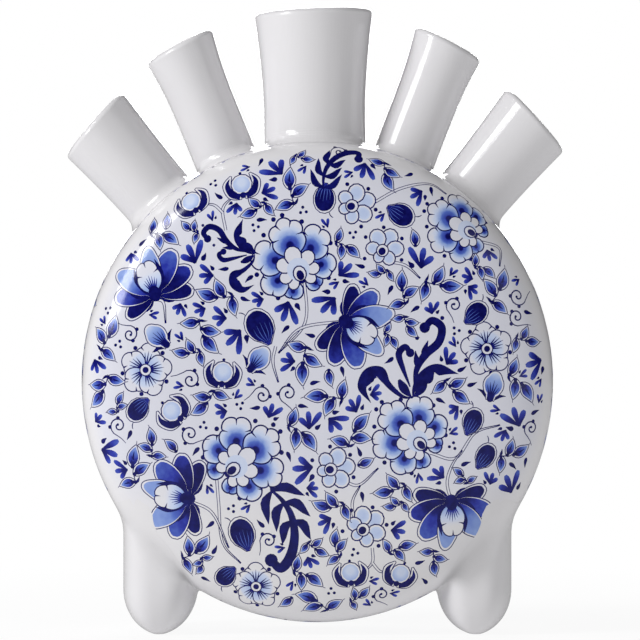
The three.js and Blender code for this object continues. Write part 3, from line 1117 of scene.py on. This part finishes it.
def heart_bud(length, width):
    """A dark closed bud with fine pale streaks at its foot and an outline that ends in a curled tip."""
    edge = bent(petal(length, width, 1, 0, HEART_BASE), length, HEART_BEND)
    inner = bent(petal(length * 0.96, width * 0.91, 2, 0.06, HEART_BASE), length, HEART_BEND)
    marks = lined(edge, flat(WHITE), LINE * 0.8) + [(inner, wash(0, length, DEEP, NAVY, NAVY, NAVY))]
    for place in np.linspace(-1, 1, 5):
        foot = length * 0.1 + 0.1j * place * width
        middle = length * 0.3 + 0.26j * place * width
        tip = length * (0.62 - 0.1 * abs(place)) + 0.3j * place * width
        marks.append((ribbon(curve(foot, middle, tip), (0.03, 0.1, 0.02)), flat(0.55)))
    way = heading(HEART_BEND)
    return marks + stem((length - 0.3) * way + sweep(2.2, 60) * way, LINE)


def striped_bud(length, width):
    """A washed bud of three lobes with strokes from its foot and two dark sepals."""
    marks = []
    for side in (1, -1):
        marks += moved(comma(length * 0.6, 1.7, side * 40), 0, heading(side * 44))
    tone = wash(0, length, NAVY, BLUE, SKY, PALE, MIST)
    marks += rimmed(petal(length, width, 3, 0.14, 0.4), tone, 0.86)
    marks += strokes(0.6, length * 0.62, 24, 5, 0.26, NAVY)
    marks.append((blob(0.4, 1.1), flat(NAVY)))
    return marks


LOBES_START = 0.35


def scroll_leaf(knots, widths, lobes, side):
    """A scroll's leaf, smooth along its back and cut into round lobes along its front."""
    line = curve(*knots)
    share = np.linspace(0, 1, len(line))
    half = np.interp(share, np.linspace(0, 1, len(widths)), widths)
    wave = np.abs(np.sin(math.pi * lobes * (share - LOBES_START) / (1 - LOBES_START))) ** 0.7
    front = half * np.where(share > LOBES_START, 0.55 + 0.95 * wave, 0.6)
    back = half * 0.5
    return [(ribbon(line, front, back) if side > 0 else ribbon(line, back, front), flat(NAVY))]


TALL_ARM = (0, 0.6 + 3.4j, 4.4 + 7.8j, 8.6 + 10.0j, 8.2 + 14.2j, 3.4 + 16.6j, -1.6 + 13.2j)
LOW_ARM = (0, 3.2 - 0.6j, 7.2 - 3.2j, 9.6 - 8.0j, 7.4 - 14.6j)
TALL_SCROLL = (
    2.4 - 0.6j, 8.6 - 1.2j, 13.4 - 4.0j, 17.2 - 8.2j, 21.8 - 9.2j, 24.0 - 6.2j, 21.8 - 3.8j,
)
LOW_SCROLL = (3.4 + 0.8j, 9.4 + 3.2j, 13.6 + 4.4j, 15.8 + 2.4j, 14.0 + 0.8j)


def palmette(size):
    """Scroll leaves that rise from one place: two wide arms, a tall scroll and a low one, with short leaves
    between them."""
    marks = scroll_leaf(TALL_ARM, (0.3, 0.9, 1.6, 2.2, 2.0, 2.3, 1.6, 0.1), 1, 1)
    marks += scroll_leaf(LOW_ARM, (0.3, 1.1, 2.3, 2.5, 1.8, 0.05), 2, -1)
    marks += scroll(TALL_SCROLL, (0.3, 0.9, 1.3, 1.3, 1.3, 1.2, 1.0), 1.7)
    marks += scroll(LOW_SCROLL, (0.2, 0.8, 1.1, 1.0, 0.8), 1.4)
    for side in (1, -1):
        blade = ribbon(sweep(6.6, -side * 24), (0.25, 1.0, 1.5, 1.2, 0.4))
        marks += moved([(blade, flat(NAVY))], 0.4 + side * 0.5j, heading(side * 48))
    for place, degrees in ((9.4 - 2.0j, 22), (12.6 - 3.6j, -4)):
        marks += moved(comma(5.4, 2.3, -20), place, heading(degrees))
    marks += dot(18.6 - 1.4j, 0.7) + dot(24.8 - 9.4j, 0.7)
    return moved(marks, 0, size)


PLUME = (0, 5 + 0.8j, 10 + 0.2j, 15.2 - 2.6j, 19.4 - 7.4j, 20.4 - 12.0j, 16.8 - 12.8j)
PLUME_STEPS = (0.03, 0.2, 0.38)
PLUME_OUTER = (0.3, 1.3, 2.3, 2.1, 1.2, 0.5, 0.05)
PLUME_INNER = (0.3, 0.5, 0.6, 0.8, 1.0, 0.7, 0.05)


def plume(size):
    """A scroll with curved leaves in pairs along it, fuller on their outer sides, and a roll at the end."""
    line = curve(*PLUME)
    marks = scroll(PLUME, (0.3, 0.7, 1.0, 1.3, 1.6, 1.5, 1.1), 2.0)
    for k, share in enumerate(PLUME_STEPS):
        place = line[round((len(line) - 1) * share)]
        for side in (1, -1):
            halves = (PLUME_OUTER, PLUME_INNER)[::side]
            blade = ribbon(sweep(10.2 - 1.1 * k, -side * 44), *halves)
            marks += moved([(blade, flat(NAVY))], place, heading(side * (66 - 5 * k) - 14 * k))
    return moved(marks, 0, size)


# The pattern's layout: the large flowers, buds and scrolls stand where the painter set them out, with thin
# stems between them. Twigs, tendrils, sprigs, commas and dots fill the ground between, the largest gaps
# first. A plain band runs round the edge of each face, and past it the pattern goes on over the sides.
CELL = 0.5
PAINTED_SHARE = 0.955
SIDE_BAND = 20.0
SPOUT_CLEAR = 1.2
FOOT_CLEAR = 0.8
RIM_CLEAR = 0.6
ROOM_LIMIT = 14
FILL_SIZES = (5.6, 4.9, 4.2, 3.6, 3.1, 2.6, 2.1, 1.6)
FILL_GAP = 0.62
FILL_PLAY = 1.2
FILL_BEND = (14, 34)
FILL_TURN = 25
LEAST_SLOPE = 0.1
TWIG_SIZE = 3.6
TWIG_SHARE = 0.35
TENDRIL_SIZE = 2.9
TENDRIL_SHARE = 0.6
LEAF_SIZE = 2.2
LEAF_SHARE = 0.42
HOOK_SHARE = 0.46
SPRIG_SIZE = 1.6
DOTS_SHARE = 0.35
PAIR_SHARE = 0.4
MOTIFS = {
    peony: (
        (-6.7 + 36.8j, 109, 1.0), (-21.6 - 22.9j, 40, 1.0), (27.6 - 15.2j, 135, 0.93),
        (42.4 + 47.0j, 150, 0.86),
    ),
    half_open: (
        (-48.3 + 26.1j, 112, 1.0), (8.2 + 18.3j, -30, 1.0), (-38.3 - 34.6j, 176, 1.0),
        (40.0 - 35.4j, -86, 1.0),
    ),
    rosette: ((-51.2 + 3.7j, 80, 1.0), (50.6 + 10.0j, 100, 1.0), (-18.3 - 61.1j, 90, 0.95)),
    small_flower: (
        (10.9 + 52.8j, 20, 1.0), (19.7 + 39.8j, 60, 0.95), (4.6 - 25.8j, 10, 1.0), (14.1 - 43.5j, 40, 1.0),
    ),
    round_bud: (
        (-22.0 + 55.2j, 100, 1.0), (-36.0 + 50.8j, 120, 1.0), (-28.5 - 1.2j, 85, 1.0),
        (-40.2 - 11.2j, 140, 1.0), (10.2 - 60.6j, 95, 0.95), (23.4 - 60.8j, 70, 0.95),
    ),
    heart_bud: (
        (-14.2 + 11.4j, 115, 11.5, 8.6), (2.6 + 59.4j, -100, 9.0, 6.6), (21.0 + 52.4j, -35, 9.0, 7.0),
        (44.0 + 17.8j, 35, 8.5, 6.4), (-50.4 - 5.0j, -140, 8.5, 6.4), (-20.6 - 50.2j, 105, 10.5, 7.8),
        (-24.6 - 55.4j, -140, 8.0, 6.0), (44.4 - 15.6j, 60, 8.5, 6.2), (47.6 - 25.6j, 50, 8.5, 6.0),
    ),
    striped_bud: ((-44.6 + 11.0j, 140, 8.6, 6.2), (-20.2 + 3.6j, 50, 8.6, 6.4), (51.4 - 5.2j, 75, 8.6, 6.2)),
    palmette: ((28.4 - 4.6j, 90, 0.95), (-18.6 + 38.2j, 172, 0.68)),
    spiral: (
        (-59.4 - 13.0j, 80, 2.9), (-16.4 - 3.9j, -20, 2.9), (59.6 + 19.5j, 120, 2.8), (6.6 + 69.0j, 10, 2.7),
        (64.0 - 13.8j, 60, 2.7),
    ),
    plume: ((-14.0 - 31.8j, -52, 1.0), (1.8 + 57.6j, 80, 0.7)),
}
STEMS = (
    (-4.1 + 32.5j, -3.6 + 18j, -11.6 + 8.7j), (-12.4 + 10.8j, -13.2 + 6j, -11.6 + 0j),
    (-30.3 - 24j, -29.4 - 36j, -28.2 - 47.8j, -22.8 - 54j), (-37.8 - 35.4j, -31.2 - 39j, -26.4 - 49.4j),
    (33.6 - 21j, 41.1 - 22.6j, 47 - 15.1j, 54.5 - 12.7j),
    (40.2 - 36j, 38.7 - 30j, 40.2 - 24.6j, 43.2 - 20.2j),
    (6.9 - 28.5j, 12.2 - 30.6j, 18.2 - 25.5j), (11.6 - 43.4j, 10.4 - 36j, 12.8 - 30.6j),
    (16.4 - 49.3j, 16.4 - 53.8j, 13.4 - 56.8j), (16.4 - 53.8j, 18.4 - 56.2j, 20.3 - 56.8j),
    (-27.3 + 45.3j, -28.2 + 51.8j, -25.2 + 55.4j), (-28.2 + 50.6j, -30.6 + 52.8j, -33.3 + 53.3j),
    (16.4 + 53.3j, 24.7 + 57.8j, 33.6 + 59.3j, 38.7 + 56.3j), (20.5 + 36j, 26.2 + 34.9j, 30.7 + 31j),
    (-47.9 + 24.8j, -45.8 + 23.6j, -45.2 + 17.6j), (8.2 + 18.3j, -5 + 16.1j, -11.6 + 8.7j),
    (49 + 42j, 54.5 + 40j, 54.5 + 34.6j),
)


def on_disc(place):
    """The place on the flat disc of a point of a face, as seen from straight in front."""
    share = place.real / half_body[0] + 1j * place.imag / half_body[2]
    spread = abs(share)
    return np.interp(spread, skin_spread, skin_length) * share / max(spread, TINY)


def room_round(taken):
    """Each cell's distance to the nearest taken cell, in millimetres, found along rows and then across."""
    across = np.full(taken.shape, float(ROOM_LIMIT))
    for order in (range(1, taken.shape[1]), range(taken.shape[1] - 2, -1, -1)):
        for column in order:
            nearer = np.minimum(across[:, column], across[:, column - order.step] + 1)
            across[:, column] = np.where(taken[:, column], 0, nearer)
    padded = np.pad(across, ((ROOM_LIMIT, ROOM_LIMIT), (0, 0)), constant_values=ROOM_LIMIT)
    rows = taken.shape[0]
    shifts = range(2 * ROOM_LIMIT + 1)
    nearest = np.min([np.hypot(padded[s : s + rows], s - ROOM_LIMIT) for s in shifts], axis=0)
    return nearest * CELL


class Ground:
    """The white that is still free, as a grid of cells on the flat disc."""

    def __init__(self, side):
        line = np.arange(-joint_out, joint_out, CELL)
        self.places = line[None, :] + 1j * line[:, None]
        out = np.abs(self.places.ravel())
        points, _ = skin(self.places.ravel(), side)
        x, y, z = points.T
        seen = np.hypot(x / half_body[0], z / half_body[2])
        taken = (out > joint_out - RIM_CLEAR) | (seen > PAINTED_SHARE) & (out < joint_out - SIDE_BAND)
        for _, spout, angle, _, _ in fan:
            across = np.hypot(x * math.cos(angle) - z * math.sin(angle), y)
            above = x * math.sin(angle) + z * math.cos(angle) > 0
            taken |= above & (across < spout["waist"] / 2 + SPOUT_BLEND + SPOUT_CLEAR)
        clear = blend_at(points) + FOOT_CLEAR
        along = np.abs(y) / (foot_half[1] + clear)
        for foot in (-foot_x, foot_x):
            across = np.abs(x - foot) / (foot_half[0] + clear)
            within = across**FOOT_END_POWER + along**FOOT_END_POWER < 1
            taken |= within & (z < floor_z + BLEND_TOP)
        self.taken = taken.reshape(self.places.shape)

    def take(self, edge):
        """Takes the cells inside an outline."""
        low = np.floor((np.array([edge.real.min(), edge.imag.min()]) + joint_out) / CELL).astype(int)
        high = np.ceil((np.array([edge.real.max(), edge.imag.max()]) + joint_out) / CELL).astype(int) + 1
        low = np.maximum(low, 0)
        box = (slice(low[1], high[1]), slice(low[0], high[0]))
        x, y = self.places[box].real, self.places[box].imag
        inside = np.zeros(x.shape, dtype=bool)
        for start, end in zip(edge, np.roll(edge, -1)):
            if start.imag != end.imag:
                crossing = start.real + (y - start.imag) * (end.real - start.real) / (end.imag - start.imag)
                inside ^= ((start.imag > y) != (end.imag > y)) & (x < crossing)
        self.taken[box] |= inside


def filler(size, draw):
    """A small motif about twice as long as a size, from its foot at 0 to the right."""
    length = 2 * size
    choice = draw.random()
    side = draw.choice([-1, 1])
    bend = draw.uniform(*FILL_BEND) * side
    if size > TWIG_SIZE or size > TENDRIL_SIZE and choice < TWIG_SHARE:
        return twig(length, bend, side)
    if size > TENDRIL_SIZE and choice < TENDRIL_SHARE:
        return moved(spiral(size * 0.86), size, side)
    if size > LEAF_SIZE and choice < LEAF_SHARE:
        return leaf(length * 0.96, length * 0.52, bend, length * 0.2)
    if size > LEAF_SIZE and choice < HOOK_SHARE:
        return hook(length * 0.66)
    if size > LEAF_SIZE:
        return sprig(3, length, 0.4 + length * 0.19, side)
    if size > SPRIG_SIZE and choice < DOTS_SHARE:
        return moved(three_dots(), size, heading(draw.uniform(0, 120)))
    if size > SPRIG_SIZE:
        return sprig(3, length, 0.35 + length * 0.2, side)
    if choice < PAIR_SHARE:
        return sprig(2, length, length * 0.27, side)
    return comma(length, length * 0.42, bend)


def face_pattern(side, seed):
    """The marks of one half's painting, the lowest first."""
    draw = np.random.default_rng(seed)
    ground = Ground(side)
    marks = []
    for knots in STEMS:
        marks += double_stem(curve(*[on_disc(knot) for knot in knots]))
    for motif, rows in MOTIFS.items():
        for place, degrees, *sizes in rows:
            marks += moved(motif(*sizes), on_disc(place), heading(degrees))
    for edge, _ in marks:
        ground.take(edge)
    for size in FILL_SIZES:
        room = room_round(ground.taken)
        slope_up, slope_across = np.gradient(room)
        clear = size + FILL_GAP
        free = np.argwhere((room >= clear) & (room < clear + FILL_PLAY))
        chosen = []
        for row, column in free[draw.permutation(len(free))]:
            place = ground.places[row, column]
            if all(abs(place - other) > 2 * size + FILL_GAP for other in chosen):
                chosen.append(place)
                away = slope_across[row, column] + 1j * slope_up[row, column]
                way = away / abs(away) if abs(away) > LEAST_SLOPE else heading(draw.uniform(0, 360))
                way *= heading(draw.uniform(-FILL_TURN, FILL_TURN))
                group = moved(filler(size, draw), place - way * size, way)
                marks += group
                for edge, _ in group:
                    ground.take(edge)
    return marks


# The two dishes. Each is one closed shell of even wall, with half of each spout's hole and half of each
# foot's vent cut out of its rim. The glaze is a white tin glaze, painted in cobalt before the firing, so
# the colour lies in the glaze and is as glossy as the white.
VENT_RADIUS = 4.0
RIM_STEP = 1.1
NOTCH_STEPS = 24
CLAY_STEP = 1.8
LINING_STEP = 4.0
HALO_RAYS = 12
WELD = 1e-5
vent_angle = math.pi - math.asin(foot_x / half_body[0])
holes = [(angle, spout["waist"] / 2 - SPOUT_WALL + HOLE_EASE) for _, spout, angle, _, _ in fan]
holes += [(vent_angle, VENT_RADIUS), (-vent_angle, VENT_RADIUS)]


def dish_rim(side):
    """The rim of a dish on the flat disc, anticlockwise, with a notch for each hole that crosses it."""
    arc = np.linspace(0, math.pi, NOTCH_STEPS)
    notches = []
    for angle, radius in holes:
        across = -side * radius * np.cos(arc)
        deep = side * radius * np.sin(arc)
        height = skin_height(angle, across, deep)
        x = across * math.cos(angle) + height * math.sin(angle)
        z = height * math.cos(angle) - across * math.sin(angle)
        notches.append(unrolled(np.stack([x, deep, z], axis=-1), side))
    notches.sort(key=lambda notch: np.angle(notch[0]))
    rim = []
    for notch, following in zip(notches, notches[1:] + notches[:1]):
        gap = np.angle(following[0] / notch[-1])
        count = math.ceil(gap * joint_out / RIM_STEP)
        rim += [notch, joint_out * np.exp(1j * (np.angle(notch[-1]) + gap * np.arange(1, count) / count))]
    return np.concatenate(rim)


def filling(rim, step):
    """Places in even rows inside a rim, clear of it by half a step."""
    rows = np.arange(-joint_out, joint_out, step * math.sqrt(3) / 2)
    columns = np.arange(-joint_out, joint_out, step)
    across, up = np.meshgrid(columns, rows)
    across[1::2] += step / 2
    places = (across + 1j * up).ravel()
    places = places[np.abs(places) < joint_out]
    following = np.roll(rim, -1)
    winding = np.zeros(len(places))
    nearest = np.full(len(places), np.inf)
    for start, end in zip(rim, following):
        winding += np.angle((end - places) / (start - places))
        nearest = np.minimum(nearest, np.abs(start - places))
    return places[(winding > math.pi) & (nearest > step / 2)]


def ringed(tone):
    """Places in rings about a halo's centre, wherever its strength changes."""
    centre, reach, _, runs, _ = tone
    turns = np.exp(2j * math.pi * np.arange(HALO_RAYS) / HALO_RAYS)
    return (centre + reach * runs[1:-1, None] * turns).ravel()


def triangulated(rim, step, marks=()):
    """Triangles inside a rim whose edges follow the outlines of the marks, and each triangle's topmost mark,
    or -1."""
    outlines = [rim] + [anticlockwise(edge) for edge, _ in marks]
    loose = np.concatenate([filling(rim, step), *[ringed(tone) for _, tone in marks if tone[2]]])
    ends = np.cumsum([len(outline) for outline in outlines])
    faces = [list(range(end - len(outline), end)) for end, outline in zip(ends, outlines)]
    places = np.concatenate([*outlines, loose])
    points = [Vector((place.real, place.imag)) for place in places]
    points, _, triangles, _, _, owners = delaunay_2d_cdt(points, [], faces, 0, WELD, True)
    kept = [(triangle, max(owner) - 1) for triangle, owner in zip(triangles, owners) if 0 in owner]
    places = np.array([point.x + 1j * point.y for point in points])
    return places, np.array([triangle for triangle, _ in kept]), np.array([topmost for _, topmost in kept])


def dish(name, side, marks):
    """One half of the body: the painted skin, the lining inside it and the rim between them."""
    rim = dish_rim(side)
    outer, outer_faces, topmost = triangulated(rim, CLAY_STEP, marks)
    inner, inner_faces, _ = triangulated(rim, LINING_STEP)
    inner_faces = inner_faces[:, ::-1]
    outer_points, outer_normals = skin(outer, side)
    inner_points, inner_normals = skin(inner, side, BODY_WALL)
    first = np.arange(len(rim))
    second = np.roll(first, -1)
    start = len(outer)
    rim_faces = np.stack([second, first, start + first, start + second], axis=-1)
    points = (np.concatenate([outer_points, inner_points]) + body_centre) * MM
    faces = [*outer_faces.tolist(), *(inner_faces + start).tolist(), *rim_faces.tolist()]
    mesh = smooth_mesh(name, points, faces)
    square_to_rim = [polygon.normal.copy() for polygon in mesh.polygons[-len(rim):]]
    rim_normals = np.repeat(np.array(square_to_rim), 4, axis=0)
    lining_normals = -inner_normals[inner_faces].reshape(-1, 3)
    corners = np.concatenate([outer_normals[outer_faces].reshape(-1, 3), lining_normals, rim_normals])
    mesh.normals_split_custom_set(corners.tolist())
    cobalt = np.zeros(len(corners), dtype=np.float32)
    painted = cobalt[: outer_faces.size].reshape(-1, 3)
    for number in np.unique(topmost[topmost >= 0]):
        inside = topmost == number
        painted[inside] = cobalt_at(outer[outer_faces[inside]], marks[number][1])
    pigment = mesh.attributes.new("cobalt", "FLOAT", "CORNER")
    pigment.data.foreach_set("value", cobalt)
    return mesh


GROUND_WHITE = (0.7, 0.705, 0.785)
GROUND_THIN = (0.67, 0.675, 0.75)
COBALT_STEPS = (
    (0.0, GROUND_WHITE), (0.12, (0.56, 0.64, 0.83)), (0.3, (0.28, 0.39, 0.72)), (0.5, (0.09, 0.16, 0.55)),
    (0.7, (0.022, 0.035, 0.35)), (0.85, (0.005, 0.007, 0.15)), (1.0, (0.001, 0.001, 0.075)),
)
WHITE_END = 0.06
BRUSH_SCALE = 520.0
BRUSH_SHARE = 0.34
TINT_FADE = (0.036, 0.052)
TINT_EDGE = (0.069, 0.065)


def share_between(value, start, end):
    return ((value - start) / (end - start)).limited()


def ground_tint(tree):
    """Where the white is tinted by the cobalt: on the faces, above the feet and inside the plain band. Its
    heights and distances are in metres, as the object's coordinates are."""
    place = tree.nodes.new("ShaderNodeTexCoord")
    apart = tree.nodes.new("ShaderNodeSeparateXYZ")
    tree.links.new(place.outputs["Object"], apart.inputs["Vector"])
    up = Wire(apart.outputs["Z"])
    from_middle = (Wire(apart.outputs["X"]) ** 2 + (up - float(body_centre[2] * MM)) ** 2) ** 0.5
    return share_between(up, *TINT_FADE) * share_between(from_middle, *TINT_EDGE)


def cobalt_colour(tree, cobalt):
    """The colour of each strength of cobalt, a little uneven as the brush leaves it."""
    ramp = tree.nodes.new("ShaderNodeValToRGB")
    stops = ramp.color_ramp.elements
    for stop, (position, colour) in zip(stops, (COBALT_STEPS[0], COBALT_STEPS[-1])):
        stop.position = position
        stop.color = (*colour, 1)
    for position, colour in COBALT_STEPS[1:-1]:
        stops.new(position).color = (*colour, 1)
    brushed = cobalt * ((Wire(cloud(tree, BRUSH_SCALE)) - 0.5) * BRUSH_SHARE + 1)
    tree.links.new(brushed.socket, ramp.inputs["Fac"])
    return ramp.outputs["Color"]


painted_glaze, tinted_white = glaze("painted_glaze", GROUND_WHITE, GROUND_THIN)
paint_tree = painted_glaze.node_tree
pigment = paint_tree.nodes.new("ShaderNodeAttribute")
pigment.attribute_name = "cobalt"
cobalt = Wire(pigment.outputs["Fac"])
ground_white = mixed(paint_tree, ground_tint(paint_tree).socket, PLAIN_WHITE, tinted_white)
covered = share_between(cobalt, 0, WHITE_END)
coloured(paint_tree, mixed(paint_tree, covered.socket, ground_white, cobalt_colour(paint_tree, cobalt)))

for node, side, seed in (("body_front_half", -1, 7), ("body_back_half", 1, 11)):
    shell = dish(node, side, face_pattern(side, seed))
    half = bpy.data.objects.new(node.replace("body", "painted"), shell)
    bpy.context.scene.collection.objects.link(half)
    half.data.materials.append(painted_glaze)
    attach(half, "root")
    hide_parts(node)


# The photographer's table, lamps and camera, in metres. The table is pale, fades out to white round the
# vase and shows less in the glaze than to the camera. The camera looks straight at the front from a little
# over a metre, at the height of the vase's middle.
TABLE_WIDTH = 6.0
TABLE_WHITE = (0.9, 0.9, 0.9, 1)
FADE_START = 0.08
FADE_END = 0.35
FADE_LEAST = 0.9
TABLE_GLOW = 0.62
TABLE_DIMMING = 0.6

reach = TABLE_WIDTH / 2
corners = [(-reach, -reach, 0), (reach, -reach, 0), (reach, reach, 0), (-reach, reach, 0)]
table_mesh = bpy.data.meshes.new("table")
table_mesh.from_pydata(corners, [], [(0, 1, 2, 3)])
table = bpy.data.objects.new("table", table_mesh)
bpy.context.scene.collection.objects.link(table)
table_paint = bpy.data.materials.new("table_paint")
table_paint.use_nodes = True
nodes = table_paint.node_tree.nodes
links = table_paint.node_tree.links
nodes.clear()
output = nodes.new("ShaderNodeOutputMaterial")
lit = nodes.new("ShaderNodeBsdfDiffuse")
lit.inputs["Color"].default_value = TABLE_WHITE
glow = nodes.new("ShaderNodeEmission")
dark = nodes.new("ShaderNodeEmission")
dark.inputs["Strength"].default_value = 0
plain = nodes.new("ShaderNodeMixShader")
dimmed = nodes.new("ShaderNodeMixShader")
where = nodes.new("ShaderNodeTexCoord")
away = nodes.new("ShaderNodeVectorMath")
away.operation = "LENGTH"
fade = nodes.new("ShaderNodeMapRange")
fade.inputs["From Min"].default_value = FADE_START
fade.inputs["From Max"].default_value = FADE_END
fade.inputs["To Min"].default_value = FADE_LEAST
ray = nodes.new("ShaderNodeLightPath")
shown = Wire(ray.outputs["Is Camera Ray"]) * (1 - TABLE_GLOW) + TABLE_GLOW
glowing = Wire(fade.outputs["Result"]) * shown
mirrored = Wire(ray.outputs["Is Glossy Ray"]) * TABLE_DIMMING
for source, target in (
    (where.outputs["Object"], away.inputs[0]),
    (away.outputs["Value"], fade.inputs["Value"]),
    (glowing.socket, plain.inputs["Fac"]),
    (lit.outputs["BSDF"], plain.inputs[1]),
    (glow.outputs["Emission"], plain.inputs[2]),
    (mirrored.socket, dimmed.inputs["Fac"]),
    (plain.outputs["Shader"], dimmed.inputs[1]),
    (dark.outputs["Emission"], dimmed.inputs[2]),
    (dimmed.outputs["Shader"], output.inputs["Surface"]),
):
    links.new(source, target)
table.data.materials.append(table_paint)

STUDIO_LIGHT = 0.31
STUDIO_REFLECTION = 0.05
world = bpy.data.worlds.new("studio")
bpy.context.scene.world = world
world.use_nodes = True
world_tree = world.node_tree
background = world_tree.nodes["Background"]
background.inputs["Color"].default_value = (1, 1, 1, 1)
ray = world_tree.nodes.new("ShaderNodeLightPath")
strength = Wire(ray.outputs["Is Glossy Ray"]) * (STUDIO_REFLECTION - STUDIO_LIGHT) + STUDIO_LIGHT
strength = strength + Wire(ray.outputs["Is Camera Ray"]) * (1 - STUDIO_LIGHT)
world_tree.links.new(strength.socket, background.inputs["Strength"])


def softbox(name, place, width, height, watts):
    """A lamp behind an oblong of white cloth, turned to the middle of the body."""
    lamp = bpy.data.lights.new(name, "AREA")
    lamp.shape = "RECTANGLE"
    lamp.size = width
    lamp.size_y = height
    lamp.energy = watts
    stand = bpy.data.objects.new(name, lamp)
    stand.location = place
    towards = Vector(body_centre * MM) - Vector(place)
    stand.rotation_euler = towards.to_track_quat("-Z", "Y").to_euler()
    bpy.context.scene.collection.objects.link(stand)


softbox("key", (-1.05, -0.62, 0.72), width=0.45, height=0.8, watts=13.4)
softbox("back", (0.0, 1.4, 0.6), width=0.6, height=0.9, watts=11.0)
softbox("fill", (1.1, -1.0, 0.5), width=0.7, height=1.1, watts=1.2)

CAMERA_PLACE = (0.0008, -1.3, 0.0947)
SENSOR_WIDTH = 36.0
VIEW_WIDTH = 0.1955
camera_lens = bpy.data.cameras.new("camera")
camera_lens.sensor_width = SENSOR_WIDTH
camera_lens.lens = SENSOR_WIDTH * -CAMERA_PLACE[1] / VIEW_WIDTH
camera = bpy.data.objects.new("camera", camera_lens)
camera.location = CAMERA_PLACE
camera.rotation_euler = (math.pi / 2, 0, 0)
bpy.context.scene.collection.objects.link(camera)
bpy.context.scene.camera = camera
bpy.context.scene.view_settings.view_transform = "Standard"
